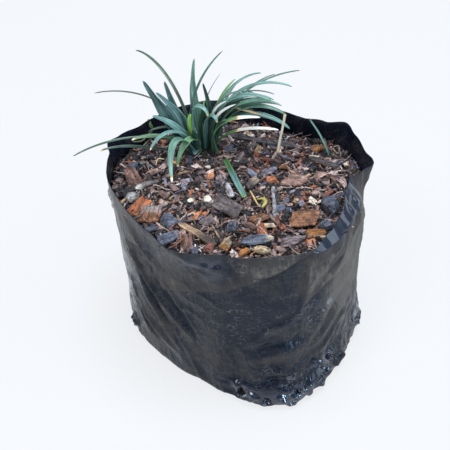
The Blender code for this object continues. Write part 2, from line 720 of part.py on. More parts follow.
def back_leaf(name, colour=None, grow=0.0):
    """The thin loose leaf that stands in the mix and leans toward the back wall."""
    points = [Vector(point) for point in BACK_LEAF_POINTS]
    side = Vector((0.55, 0.8, 0)).normalized()
    sides = []
    for index in range(len(points)):
        along = (points[min(index + 1, 3)] - points[max(index - 1, 0)]).normalized()
        sides.append((side - along * side.dot(along)).normalized())
    widths = [BACK_LEAF_WIDTH * share for share in (1.0, 1.0, 0.9, 0.6)]
    return add_object(name, blade(points, sides, widths, grow), colour)


def clear_line(start, end):
    """Circles along a line that the small chips stay out of."""
    circles = []
    for share in (0, 0.25, 0.5, 0.75, 1):
        x = start[0] + (end[0] - start[0]) * share
        y = start[1] + (end[1] - start[1]) * share
        circles.append((x, y, LINE_CLEAR))
    return circles


def make_loose_pieces():
    """Every loose piece on the mix, the cutter of its seat, and the ground that it keeps clear."""
    cutters = []
    blocked = [(*CROWN_CENTRE, CROWN_CLEAR)]
    for name, place, length, *rest in SLABS:
        slab(name, place, length, *rest)
        cutters.append(slab(name, place, length, *rest[:-1], grow=CLEARANCE))
        blocked.append((*place, length / 2 + PIECE_CLEAR))
    for name, start, end, *rest in STICKS:
        stick(name, start, end, *rest)
        cutters.append(stick(name, start, end, *rest[:-1], grow=CLEARANCE))
        blocked += clear_line(start, end)
    for name, place, half_sizes, *rest in LUMPS:
        lump(name, place, half_sizes, *rest)
        cutters.append(lump(name, place, half_sizes, *rest[:-1], grow=CLEARANCE))
        blocked.append((*place, half_sizes[1] + PIECE_CLEAR))
    twig("twig_forked", "twig")
    cutters.append(twig("twig_forked", grow=CLEARANCE))
    blocked += clear_line(*TWIG[:2])
    front_leaf("leaf_piece_front", "leaf")
    cutters.append(front_leaf("leaf_piece_front", grow=CLEARANCE))
    blocked += clear_line(*FRONT_LEAF[:2])
    back_leaf("leaf_back_right", "leaf")
    cutters.append(back_leaf("leaf_back_right", grow=CLEARANCE))
    blocked.append((*BACK_LEAF_POINTS[0][:2], LINE_CLEAR))
    return cutters, blocked


def build():
    """Every piece of the potted plant."""
    clear_scene()
    make_bag()
    cutters, blocked = make_loose_pieces()
    cutters.append(oval_plug("crown_hole", [(height, 1.0) for height in HOLE_HEIGHTS], CLEARANCE))
    make_mix(cutters, blocked)
    make_clump()


build()
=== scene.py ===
"""Looks of a Kyoto dwarf mondo grass in a black film nursery bag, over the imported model.

A bearing is a direction in plan, in degrees: 0 is +X, 90 the back, 270 the front, where the
camera is. Sizes are millimetres unless the name says metres, and every mesh is made in metres.
"""
import json
import math
import random

import bmesh
import bpy
import numpy as np
from mathutils import Matrix, Vector

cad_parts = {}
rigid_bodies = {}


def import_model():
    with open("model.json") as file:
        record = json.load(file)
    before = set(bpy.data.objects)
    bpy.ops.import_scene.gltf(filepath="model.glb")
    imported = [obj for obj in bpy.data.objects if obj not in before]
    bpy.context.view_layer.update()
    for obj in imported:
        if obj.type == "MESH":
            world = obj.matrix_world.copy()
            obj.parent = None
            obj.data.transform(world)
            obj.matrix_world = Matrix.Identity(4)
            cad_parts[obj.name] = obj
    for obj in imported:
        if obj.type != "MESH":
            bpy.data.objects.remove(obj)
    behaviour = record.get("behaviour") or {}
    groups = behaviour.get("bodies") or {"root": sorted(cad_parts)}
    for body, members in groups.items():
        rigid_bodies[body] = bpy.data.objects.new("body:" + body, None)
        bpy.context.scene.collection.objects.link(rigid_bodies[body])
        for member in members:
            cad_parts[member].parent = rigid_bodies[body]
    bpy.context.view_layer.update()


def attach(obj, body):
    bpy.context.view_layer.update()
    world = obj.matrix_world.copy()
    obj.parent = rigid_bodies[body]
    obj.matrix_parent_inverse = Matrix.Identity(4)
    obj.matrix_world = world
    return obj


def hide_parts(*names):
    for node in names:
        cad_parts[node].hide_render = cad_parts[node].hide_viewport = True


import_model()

MM = 0.001
BODY = "root"

# The camera: where it looks, from how far and how high, and the lens.
LOOK_AT_METRES = (0.0, 0.0, 0.045)
CAMERA_DISTANCE_METRES = 0.45
CAMERA_ELEVATION = 40
LENS = 75
SENSOR = 36
IMAGE_SIDE = 450
SHIFT_PIXELS = (-15, 15)

# The bag, with the same values as its solid.
FILLET = 3.0
LOW_HEIGHT = 24.0
HIGH_HEIGHT = 48.0
SHOULDER_HEIGHT = 71.0
# How far the radius at the low and the high place has gone from the base's to the shoulder's.
WALL_SHARES = (0.35, 0.70)
BELLY = -1.0
BASE_RADII = [(0, 60), (25, 57), (60, 56), (90, 60), (111, 66), (127, 60), (150, 57), (174, 57),
              (190, 54.5), (222, 52), (248, 54), (266, 60), (280, 67), (291, 70), (302, 67), (320, 62),
              (340, 60)]
SHOULDER_RADII = [(0, 57.5), (30, 61), (60, 55), (90, 57), (130, 60), (162, 62), (180, 60), (207, 57),
                  (228, 55), (250, 57), (270, 58), (290, 61), (310, 61), (335, 57.5)]
RIM_RADII = [(3, 62), (14, 60), (24, 61), (35, 64), (43, 57), (54, 53), (66, 54), (85, 57), (107, 60),
             (129, 61), (142, 61), (155, 64), (162, 66), (170, 62), (182, 61), (207, 58), (228, 58),
             (241, 61), (264, 57), (283, 58), (300, 61), (313, 57), (325, 53), (338, 50), (350, 50),
             (357, 56)]
RIM_HEIGHTS = [(0, 88), (35, 88), (60, 87), (110, 88), (145, 87), (162, 88), (185, 88), (215, 86),
               (235, 84), (300, 84), (320, 85), (340, 88)]
DRAIN_DIAMETER = 5.0
DRAIN_HEIGHT = 6.0
DRAIN_BEARINGS = [14, 60, 100, 150, 196, 271, 320, 348]

# One degree of bearing along the wall, at its mean radius, and a length past every other.
DEGREE_MM = math.radians(1) * 58.0
FAR_AWAY = 1e9

# The film's own grid and thickness, and the dust and scuffs that it has everywhere.
FILM_COLUMNS = 480
FILM_ROWS = 150
FILM_SHOWN = 0.3
INNER_ROWS = 12
INNER_FOOT = 66.0
RELIEF_SHIFT = -0.9
RELIEF_LIMITS = (-3.4, 1.5)
DUST_EVERYWHERE = 0.16
SCUFF_EVERYWHERE = 0.18
# More dust on fold crests and less in the hollows, which also paints the crests lighter and the hollows
# darker: partly painted light and shade.
FOLD_DUST_AND_SHADE = 0.16
GLOSS_CLEANS = 0.75
BASE_SHARES = [0.02, 0.3, 0.6, 0.85]
WALL_SMOOTHING = (-3.0, -1.5, 0.0, 1.5, 3.0)
# How much calmer the folds are at the rim and over what depth, where they start above the floor, and
# how far the rim lies below its table and waves.
RIM_CALM = 0.55
RIM_CALM_DEPTH = 8.0
FOOT_EASE = (-1.0, 2.5)
RIM_DROP = 0.1
RIM_WAVE = 0.4
# The fine folds: the two bottom corners that they run down to, as bearing and shift of the seeds; how
# far round from a corner they fade; and for the left and the right of a corner the slope that they
# run at, the length of its unit step, and the seed.
CORNERS = ((291, 0), (111, 180))
CORNER_REACH = (78, 102)
CORNER_BLEND = 6
FINE_SLOPES = ((1.5, 1.8, 3), (-1.1, 1.49, 11))
BROAD_CREASE = 0.60
NARROW_CREASE = 0.12
# The panel with few fine folds, as bearing, height, half span and half height, and how much calmer it
# is; and how many waves and facets go round the wall, and how high they are.
FLAT_PANEL = (272, 47, 17, 18)
PANEL_CALM = 0.75
WAVES_ROUND = 60
WAVE_RISE = 0.35
FACETS_ROUND = 90
FACET_RISE = 1.7
FINE_FACET_RISE = 0.25
# The drain holes: how far the film stands out at the lip and round it, how deep the hole is, how
# uneven its edge, and, in radii, where the pit ends and where the lip is and how wide.
DRAIN_LIP = 1.5
DRAIN_SWELL = 1.2
DRAIN_DEPTH = 3.2
DRAIN_WOBBLE = 0.18
DRAIN_PIT_EDGE = (0.62, 0.92)
DRAIN_LIP_PLACE = 1.15
DRAIN_LIP_WIDTH = 0.30

# Folds of the film: points as (bearing, height), how far out the crest is, and the half widths on
# its left and right hand, going from the first point to the last.
FOLDS = [
    (((206, 63), (214, 55), (222, 46), (234, 38), (249, 27)), 2.0, 2.6, 5.0),
    (((210, 50), (216, 39), (228, 25), (239, 16)), 1.7, 3.4, 4.5),
    (((202, 36), (207, 27), (214, 22), (223, 18), (238, 12)), 1.4, 3.2, 4.0),
    (((222, 53), (232, 46), (240, 41), (245, 34), (249, 25)), -1.5, 4.0, 2.6),
    (((212, 55), (217, 46), (222, 36), (229, 30), (237, 27)), -1.6, 3.0, 2.6),
    (((203, 36), (208, 24), (214, 16), (222, 14)), -1.2, 2.6, 2.4),
    (((230, 56), (236, 50), (243, 40), (250, 30)), 0.9, 3.0, 2.4),
    (((214, 74), (222, 66), (232, 58)), 0.7, 4.0, 4.0),
    (((244, 82), (250, 79), (258, 77), (264, 76)), 0.8, 2.2, 3.0),
    (((298, 80), (298, 67), (294, 50)), 1.5, 6.0, 2.0),
    (((331, 53), (314, 52), (306, 44), (298, 35)), 2.0, 6.0, 2.6),
    (((326, 58), (310, 59), (305, 56), (298, 52)), -1.8, 3.4, 3.4),
    (((337, 41), (323, 41), (316, 38), (303, 31)), 1.7, 5.0, 2.6),
    (((322, 45), (314, 43), (306, 38)), -1.4, 3.0, 2.6),
    (((334, 30), (322, 31), (312, 27), (303, 22)), 1.2, 4.0, 2.4),
    (((312, 78), (306, 72), (302, 66), (297, 59)), 1.1, 3.0, 2.4),
    (((318, 72), (310, 67), (303, 60)), -0.9, 2.6, 2.6),
    (((269, 31), (280, 42), (294, 51)), 0.9, 2.2, 6.0),
    (((273, 31), (283, 35), (296, 38)), -1.1, 3.0, 3.0),
    (((271, 24), (283, 29), (296, 33)), 1.0, 2.4, 4.0),
    (((275, 15), (284, 20), (293, 27)), 0.7, 2.4, 3.0),
    (((262, 9), (275, 13), (288, 17), (298, 23)), -0.9, 3.5, 2.0),
    (((352, 82), (349, 66), (346, 50), (340, 34)), 1.1, 3.0, 3.0),
    (((341, 80), (339, 66), (336, 54)), -1.0, 2.6, 2.6),
    (((8, 80), (14, 62), (12, 44), (20, 26), (18, 10)), 1.3, 4.0, 3.0),
    (((20, 72), (48, 24)), 1.5, 3.0, 5.0),
    (((26, 70), (46, 34)), -1.2, 2.0, 3.5),
    (((62, 78), (70, 60), (84, 20)), 1.5, 3.0, 4.5),
    (((90, 80), (94, 62), (107, 20)), 1.2, 3.0, 4.0),
    (((98, 70), (108, 34)), -1.1, 2.2, 3.0),
    (((112, 82), (110, 36), (111, 8)), 1.3, 3.0, 3.0),
    (((142, 76), (122, 34), (113, 12)), 1.8, 5.0, 2.8),
    (((136, 70), (118, 30)), -1.3, 3.0, 2.2),
    (((168, 74), (144, 22)), 1.6, 4.5, 2.6),
    (((184, 78), (170, 42), (150, 10)), 1.5, 4.0, 2.6),
    (((176, 66), (158, 32)), -1.1, 3.0, 2.2),
]
# Laps, where one layer of film ends over another: edge as (bearing, height), step, how far the
# step takes to fade upward, and how much more dust lies above the edge.
LAPS = [
    (((224, 48), (234, 53), (242, 57), (252, 61), (264, 65), (274, 69), (278, 72), (285, 76),
      (289, 78), (295, 82)), 0.8, 14.0, 0.45),
    (((263, 84), (266, 80), (269, 76), (274, 74), (280, 74), (286, 76), (290, 79), (296, 81),
      (300, 83)), 1.5, 26.0, 0.15),
]
LAP_EASE = 4
# Crumpled places: bearing, height, radius and depth.
CRUMPLES = [
    (301, 45, 10, 0.9),
    (291, 5, 17, 2.0),
    (283, 4, 5, 1.3),
    (291, 8, 5, 1.4),
    (299, 5, 5, 1.3),
    (305, 9, 5, 1.2),
    (272, 9, 4, 1.2),
    (314, 14, 4, 1.3),
    (272, 6, 8, 1.7),
    (313, 12, 9, 1.8),
    (343, 10, 10, 1.7),
    (195, 27, 11, 1.1),
    (256, 77, 9, 0.8),
    (111, 5, 16, 1.2),
    (215, 62, 10, 0.7),
    (337, 79, 14, 0.9),
    (196, 8, 9, 1.0),
    (60, 8, 10, 1.0),
    (150, 8, 10, 1.0),
]
# The rim that is rolled in on the right: the height of its outer bend by bearing, how far it
# stands out from the straight line to the rim, and how glossy it is, with the painted blue sheen that comes
# with the gloss.
ROLL_BEND = [(297, 83), (309, 81.4), (325, 81.0), (342, 79.5), (354, 83)]
ROLL_RISE = 3.4
ROLL_FADE = 9.0
ROLL_EASE = 9
ROLL_GLOSS_AND_SHEEN = 0.7
# Clean, glossy film, which also gets the painted blue sheen: bearing, height, half span, half height and
# strength.
GLOSS_AND_SHEEN_PLACES = [
    (292, 5, 14, 5, 1.0),
    (272, 8, 5, 3, 1.0),
    (309, 14, 6, 5, 0.9),
    (345, 11, 7, 6, 1.0),
    (195, 28, 6, 16, 0.8),
    (255, 79, 8, 3, 0.7),
    (259, 72, 4, 3, 0.6),
    (274, 50, 18, 14, 0.10),
    (302, 50, 8, 6, 0.2),
]

# Dust on the film: bearing, height, half span, half height and how much more or less of it.
DUST_PLACES = [
    (262, 67, 16, 4, 0.20),
    (212, 76, 10, 8, 0.25),
    (232, 74, 8, 5, -0.25),
    (224, 58, 16, 12, 0.10),
    (228, 44, 5, 12, -0.20),
    (240, 60, 6, 4, 0.30),
    (246, 46, 8, 8, -0.15),
    (332, 60, 30, 18, 0.88),
    (8, 46, 34, 28, 0.30),
    (305, 66, 9, 12, 0.60),
    (322, 44, 20, 8, 0.50),
    (350, 50, 14, 22, 0.70),
    (346, 74, 10, 8, 0.45),
    (284, 43, 9, 3, 0.50),
    (284, 27, 10, 3, 0.50),
    (262, 18, 18, 8, 0.15),
    (275, 50, 17, 15, -0.52),
    (276, 33, 7, 4, -0.35),
    (290, 36, 6, 3, -0.35),
    (300, 52, 7, 6, -0.45),
    (256, 78, 12, 5, -0.35),
    (290, 8, 18, 6, -0.40),
    (60, 50, 40, 25, 0.30),
    (150, 50, 40, 25, 0.25),
]
# Pale scuffs of the film, and at the bottom corner and two drain holes pale marks that are painted glints:
# bearing, height, half span, half height and strength.
SCUFF_AND_GLINT_PLACES = [
    (301, 46, 8, 7, 1.0),
    (306, 38, 8, 6, 0.5),
    (250, 33, 6, 4, 1.0),
    (283, 20, 10, 4, 0.9),
    (268, 38, 8, 2, 0.7),
    (267, 78, 4, 4, 2.0),
    (275, 75, 12, 2, 2.0),
    (247, 68, 3, 2, 1.2),
    (236, 24, 12, 10, 0.3),
    (222, 26, 5, 5, 0.8),
    (228, 68, 8, 6, 0.4),
    (259, 72, 3, 2, 0.7),
    (269, 50, 20, 14, 0.55),
    # These three paint pale marks at the bottom corner and two drain holes that stand in for glints:
    # painted highlights.
    (288, 13, 16, 6, 0.5),
    (272, 7, 5, 4, 0.3),
    (312, 13, 5, 5, 0.4),
    (110, 40, 30, 20, 0.4),
]

# The potting mix, with the same values as its solid.
MIX_LEVEL = 78.0
MIX_BACKWARD_FALL = 0.045
MOUND_RISE = 2.5
MOUND_WIDTH = 18.0
CROWN_CENTRE = (-16.5, 26.0)
GROUND_COLUMNS = 360
GROUND_RINGS = 96
GROUND_GAP = 1.1
GROUND_BODY_HEIGHTS = (1.5, 30.0, 60.0)
GROUND_BODY_GAP = 5.0
GROUND_TOP_FROM = 66
COMPOST_DROP = 0.9
# Lumps of the compost: rise, size and seed.
GROUND_LUMPS = ((0.8, 4.2, 51), (0.55, 1.9, 52))
# Where bits are strewn: how far clear of the placed pieces and how far in from the film.
ROOMS = {"chip_room": (0.4, 2.6), "crumb_room": (-1.4, 0.9)}
# Room that the strewn chips leave: round the crown; round slabs and small pieces, as shares of length
# and width; past lumps; and round points along the sticks and along the twig and the cut leaf.
CROWN_ROOM = 8.5
SLAB_ROOM = 0.30
SMALL_ROOM = 0.22
LUMP_ROOM = 0.6
STICK_ROOM = 2.6
STICK_SHARES = (0.1, 0.3, 0.5, 0.7, 0.9)
TWIG_ROOM = 2.2
TWIG_SHARES = (0.05, 0.25, 0.5, 0.75, 0.95)
# Places that show bare compost: x, y and radius.
CLEAR_PLACES = [(8, -13, 3.5), (-3, 4, 5), (0, -6, 5)]
# The values of each strewn layer with their kinds. Sizes, sunk and proud are in metres, the tilt in
# radians, and the density is the most per square metre.
LAYER_VALUES = {"Room": "String", "Spacing": "Float", "Density": "Float", "Seed": "Int",
                "Smallest": "Vector", "Largest": "Vector", "Tilt": "Float", "Sunk": "Float",
                "Proud": "Float"}
LAYERS = [
    ("strewn_chips", "chip_room", 0.0024, 140000, 1, (0.0028, 0.0016, 0.0007),
     (0.0078, 0.0046, 0.0022), 0.60, 0.0002, 0.0018),
    ("strewn_slivers", "crumb_room", 0.0012, 500000, 2, (0.0022, 0.0005, 0.0004),
     (0.0070, 0.0016, 0.0010), 0.60, 0.0002, 0.0016),
    ("strewn_crumbs", "crumb_room", 0.0009, 900000, 3, (0.0007, 0.0006, 0.0005),
     (0.0021, 0.0018, 0.0015), 3.1, -0.0001, 0.0009),
    ("strewn_fibres", "crumb_room", 0.0026, 120000, 4, (0.0040, 0.0060, 0.0050),
     (0.0120, 0.0120, 0.0100), 0.35, 0.0009, 0.0024),
]
# Seeds of the random draws by kind of piece, to which a piece's own number is added.
STREWN_SEED = 5
SLAB_SEED = 100
STICK_SEED = 300
LUMP_SEED = 400
SMALL_SEED = 500
LEAF_SEED = 700
MORE_LEAF_SEED = 800
# How finely the pieces are divided, how high a chip's ridges are and how flat a stick is.
SLAB_GRID = (14, 22)
SMALL_GRID = (8, 12)
LUMP_FINENESS = 4
SMALL_FINENESS = 3
CHIP_RIDGES = 0.3
STRAND_STATIONS = 8
STICK_STATIONS = 26
STICK_SIDES = 14
STICK_FLATNESS = 0.7

# Large loose pieces, with the same values as their solids: name, place, length, width, thickness,
# yaw, pitch, roll, lift over the mix, colour.
SLABS = [
    ("chip_rust_left", (-45, -16), 15, 7.5, 2.6, 55, 16, 8, 1.6, "rust"),
    ("chip_pink_left", (-38.5, -22), 9.5, 10, 3.0, 80, 12, -6, 1.8, "pinkwood"),
    ("chip_slate_left", (-30, -41), 9.5, 5.5, 2.6, 25, 8, 12, 1.2, "slate"),
    ("block_pink_front", (-22.5, -44.5), 8, 5.5, 5.0, 95, 28, 0, 1.6, "pinkwood"),
    ("slab_grey_centre", (-5.5, -17.5), 15, 8.5, 2.6, -42, 4, -8, 1.0, "greywood"),
    ("block_tan_centre", (6, -1), 9, 4.6, 2.4, 52, 8, 10, 1.2, "tanwood"),
    ("chip_tan_front", (-3.5, -45), 7.5, 5.0, 2.4, 60, 18, 0, 1.8, "tanwood"),
    ("flake_slate_front", (7.5, -42.5), 15, 6.2, 1.8, 4, 4, 16, 1.6, "slate"),
    ("flake_cream_front", (10.5, -49), 8.5, 4.0, 1.8, -20, 4, 14, 1.4, "cream"),
    ("chip_orange_mid", (9, -27), 10, 5.0, 1.8, 22, 8, 10, 1.2, "rust"),
    ("flake_brown_front", (22.5, -41), 11.5, 7.0, 1.8, -14, 6, 14, 1.6, "brownwood"),
    ("chip_rust_right", (28.5, -27), 13, 11, 2.6, 12, 10, 14, 2.0, "rust"),
    ("chip_ochre_right", (32.5, -38), 9, 6.0, 1.8, 5, 8, 12, 1.2, "ochre"),
    ("flake_pink_right", (25.5, 3), 12, 9.5, 2.0, -20, 4, 8, 1.0, "pinkwood"),
    ("chip_brown_left", (-49, 6), 13, 6.0, 2.6, 118, 22, 10, 1.8, "brownwood"),
]
STICKS = [
    ("stick_tan_front", (-26, -31.5), (-10.5, -46.5), 3.6, 4.4, 1.2, "tanwood"),
    ("stick_grey_centre", (-5.8, -0.5), (-3.6, -11), 2.2, 3.4, 1.0, "greywood"),
    ("stick_bark_left", (-47, -5), (-37.5, 1), 4.0, 3.0, 1.4, "greywood"),
    ("stick_dark_back", (-6, 41), (28, 31), 3.6, 2.8, 1.2, "darkwood"),
    ("stick_dark_right", (33, 20.5), (46, 13), 2.6, 3.4, 1.4, "darkwood"),
]
LUMPS = [
    ("lump_slate_right", (40, -17), (5.0, 6.2, 4.0), 2.2, "slate"),
    ("lump_slate_left", (-31, -30.5), (4.4, 3.8, 3.4), 1.6, "slate"),
    ("perlite_centre", (-14.5, -13.5), (1.9, 2.1, 1.7), 1.2, "perlite"),
]
# Shapes of the large pieces: how frayed and how torn the ends are, how much narrower the far end is,
# how rounded the outline, how skewed, and how cupped across the grain.
CHIP_SHAPES = {
    "chip_rust_left": (0.34, 0.10, 0.25, 0.0, 0.10, 0.2),
    "chip_pink_left": (0.06, 0.02, 0.05, 0.0, 0.05, 0.15),
    "block_pink_front": (0.05, 0.02, 0.10, 0.0, 0.05, 0.1),
    "slab_grey_centre": (0.08, 0.03, 0.15, 0.0, -0.25, 0.05),
    "chip_rust_right": (0.03, 0.01, 0.05, 0.0, 0.17, 0.25),
    "chip_ochre_right": (0.10, 0.03, 0.45, 0.15, -0.10, 0.2),
    "flake_slate_front": (0.04, 0.02, 0.0, 0.75, 0.10, 0.3),
    "flake_brown_front": (0.06, 0.03, 0.55, 0.35, 0.10, 0.3),
    "flake_cream_front": (0.12, 0.05, 0.10, 0.45, 0.10, 0.1),
    "flake_pink_right": (0.16, 0.06, 0.20, 0.10, 0.25, 0.2),
    "chip_orange_mid": (0.20, 0.07, 0.30, 0.05, -0.20, 0.2),
    "chip_tan_front": (0.20, 0.06, 0.30, 0.20, 0.15, 0.1),
}
PLAIN_CHIP = (0.15, 0.05, 0.25, 0.10, 0.15, 0.15)
# Pieces that change colour along the grain: where it starts and is through, and to what colour.
STAINS = {
    "block_pink_front": (0.30, 0.0, (0.74, 0.54, 0.46)),
    "stick_bark_left": (0.32, 0.12, (0.80, 0.74, 0.66)),
    "flake_slate_front": (0.72, 0.92, (0.75, 0.62, 0.48)),
    "stick_tan_front": (0.35, 0.85, (0.115, 0.075, 0.055)),
    "chip_pink_left": (0.42, 0.52, (0.50, 0.38, 0.34)),
    "chip_orange_mid": (0.72, 0.9, (0.46, 0.30, 0.20)),
    "chip_slate_left": (0.70, 0.9, (0.40, 0.34, 0.34)),
    "block_tan_centre": (0.35, 0.65, (0.58, 0.43, 0.30)),
    "chip_tan_front": (0.25, 0.55, (0.62, 0.44, 0.27)),
    "flake_brown_front": (0.80, 1.0, (0.50, 0.42, 0.40)),
    "slab_grey_centre": (0.75, 1.0, (0.16, 0.11, 0.095)),
}
# Pieces whose lie is seen better than the solid has it: place, length, width, thickness, yaw, pitch,
# roll and lift.
SEEN_LIES = {
    "chip_rust_left": ((-43.3, -18.6), 15, 8.5, 2.6, 55, 16, 8, 1.6),
    "chip_pink_left": ((-39.0, -24.8), 10, 10.5, 3.0, 80, 12, -6, 2.0),
    "chip_slate_left": ((-29.6, -43.2), 10.5, 6.0, 2.6, 25, 8, 12, 1.6),
    "chip_brown_left": ((-49.0, 3.2), 14, 8.0, 3.2, 118, 22, 10, 1.8),
    "chip_rust_right": ((27.5, -29.5), 12, 9.5, 2.4, -3, 8, 12, 2.0),
    "flake_slate_front": ((6.8, -45.4), 14, 5.6, 1.8, 2, 3, 14, 1.8),
    "flake_cream_front": ((8.9, -51.2), 8, 4.0, 2.6, -20, 4, 10, 2.0),
    "chip_tan_front": ((-5.6, -47.0), 7.5, 5.5, 2.6, 55, 16, 0, 2.2),
    "flake_brown_front": ((22.1, -43.9), 11.5, 6.4, 1.8, 14, 6, 14, 2.0),
    "slab_grey_centre": ((-5.4, -19.0), 17, 11.5, 2.6, -42, 4, -8, 1.2),
}
# Pieces whose colour is seen better than their solid's slot has it.
SEEN_COLOURS = {"chip_rust_right": "rustbrown", "chip_orange_mid": "rustbrown",
                "chip_pink_left": "rustbrown", "block_tan_centre": "greywood",
                "chip_tan_front": "ochre", "flake_brown_front": "mauve",
                "stick_grey_centre": "twig"}
TWIG = ((15, -5), (15.2, -26), (14.9, -9), (18.5, -5.5))
TWIG_WIDTH = 1.7
TWIG_LIFT = 1.8
TWIG_SIDES = 10
TWIG_STATIONS = 40
BRANCH_STATIONS = 18

# Smaller pieces that only the scene has: kind, place, length, width, thickness, yaw, tilt, colour.
SMALL_PIECES = [
    ("chip", (-3.6, -34.5), 7, 6, 3.2, 70, 14, "slate"),
    ("chip", (9.2, -36.7), 7, 5, 1.6, 100, 20, "rust"),
    ("chip", (27.9, -13), 4, 3, 1.2, 30, 10, "rust"),
    ("chip", (14.1, 2.2), 7.5, 5.5, 1.8, -15, 12, "rust"),
    ("chip", (13.1, 9.4), 8, 5, 1.2, 10, 10, "lilac"),
    ("chip", (12.5, 20.5), 9.5, 3.6, 1.6, -22, 8, "rosewood"),
    ("chip", (21, 22), 9, 2.6, 1.4, -42, 6, "lilac"),
    ("chip", (22.4, 25.5), 5.5, 2.4, 1.4, -50, 18, "rosewood"),
    ("chip", (20.4, 13.8), 5.5, 3.0, 1.4, -30, 12, "ochre"),
    ("chip", (24, 11.5), 11, 3.0, 1.2, -60, 6, "pinkwood"),
    ("chip", (30.7, 5.5), 7, 3.2, 1.4, 48, 10, "tanwood"),
    ("chip", (36, 5), 8, 4.0, 1.4, 40, 14, "pinkwood"),
    ("stick", (-11.3, -33.8), 16.5, 1.0, 0.9, -69, 4, "tanwood"),
    ("stick", (14.6, -35.6), 12, 0.8, 0.8, 65, 5, "rosewood"),
    ("lump", (-50.1, 14.8), 5, 4.5, 3.4, 20, 0, "bluestone"),
    ("lump", (-48.4, -13.2), 7, 5.5, 4.0, 30, 0, "palestone"),
    ("lump", (-22.2, -14.4), 3.4, 2.8, 2.2, 10, 0, "perlite"),
    ("lump", (-14.9, 11.8), 2.8, 2.6, 2.0, 0, 0, "perlite"),
    ("chip", (-31.5, -22.5), 9, 3.4, 1.8, -6, 14, "rust"),
    ("chip", (-26.5, 7.8), 7, 1.6, 0.8, 14, 14, "tanwood"),
    ("chip", (37.6, 29.7), 6, 5, 2.0, 10, 12, "ochre"),
    ("chip", (20.7, -14.6), 4, 3, 1.2, 60, 10, "slate"),
    ("chip", (17.8, -20.6), 6.5, 5, 2.0, 30, 16, "slate"),
    ("lump", (37.2, -33.3), 8, 6.5, 4.5, 60, 0, "slate"),
    ("chip", (10.3, -33), 9.5, 2.6, 1.0, -8, 12, "creamwood"),
    ("chip", (4.3, -33.3), 8, 4.6, 1.6, -50, 12, "brownwood"),
    ("chip", (-0.8, 21.6), 8, 6.5, 2.0, 60, 16, "mauve"),
    ("chip", (-9.2, 2.9), 6.5, 6, 2.0, 100, 18, "mauve"),
    ("chip", (-18.2, -9), 8.5, 1.5, 1.0, -72, 8, "rosewood"),
    ("chip", (-22.3, -7.5), 4, 2, 1.2, 60, 14, "rust"),
    ("chip", (8.8, 29.2), 7, 3.6, 1.4, 75, 16, "tanwood"),
    ("chip", (46, 19.5), 4, 2.4, 1.6, 10, 10, "palestone"),
    ("chip", (35.3, -40.5), 6, 2.4, 1.2, -12, 10, "creamwood"),
    ("chip", (-38.1, -35), 7, 5, 1.6, 10, 14, "slate"),
    ("chip", (-14.4, -29.9), 6, 6, 3.2, 30, 18, "mauve"),
    ("chip", (1.6, -51), 6, 3.8, 2.2, 24, 14, "ochre"),
    ("chip", (-28.3, -12.2), 6, 3, 1.4, 60, 12, "pinkwood"),
    ("chip", (-41, 8), 7, 5, 2.0, 20, 14, "pinkwood"),
    ("chip", (-13, -47.5), 6, 4.5, 2.4, 70, 14, "rosewood"),
    ("chip", (-32, 17), 8, 6.5, 2.6, 60, 16, "mauve"),
    ("lump", (-49.6, 16), 4.2, 3.6, 3.0, 0, 0, "tanwood"),
    ("lump", (-45.9, 16), 3.0, 2.8, 2.4, 0, 0, "palestone"),
    ("chip", (-26.7, 39.2), 3, 1.6, 1.0, 60, 10, "rust"),
    ("chip", (5, 13), 9, 3, 1.4, 80, 10, "brownwood"),
    ("chip", (-34, -10), 6.5, 3.6, 1.6, 150, 16, "brownwood"),
    ("chip", (44, 0), 6, 4, 1.6, 100, 14, "brownwood"),
    ("chip", (40, -8), 5, 3, 1.2, 30, 10, "rosewood"),
    ("chip", (33, -2), 5, 2, 1.0, 10, 10, "rust"),
]

# The plant, with the same values as its solid.
FAN_ROOTS = {"left": (-20, 24, 80), "middle": (-17, 28, 80), "right": (-13, 27, 80)}
ROOT_WIDTH = 0.72
WIDEST_FROM = 0.3
TAPER_FROM = 0.62
TAPER_POWER = 1.6
TIP_WIDTH = 0.38
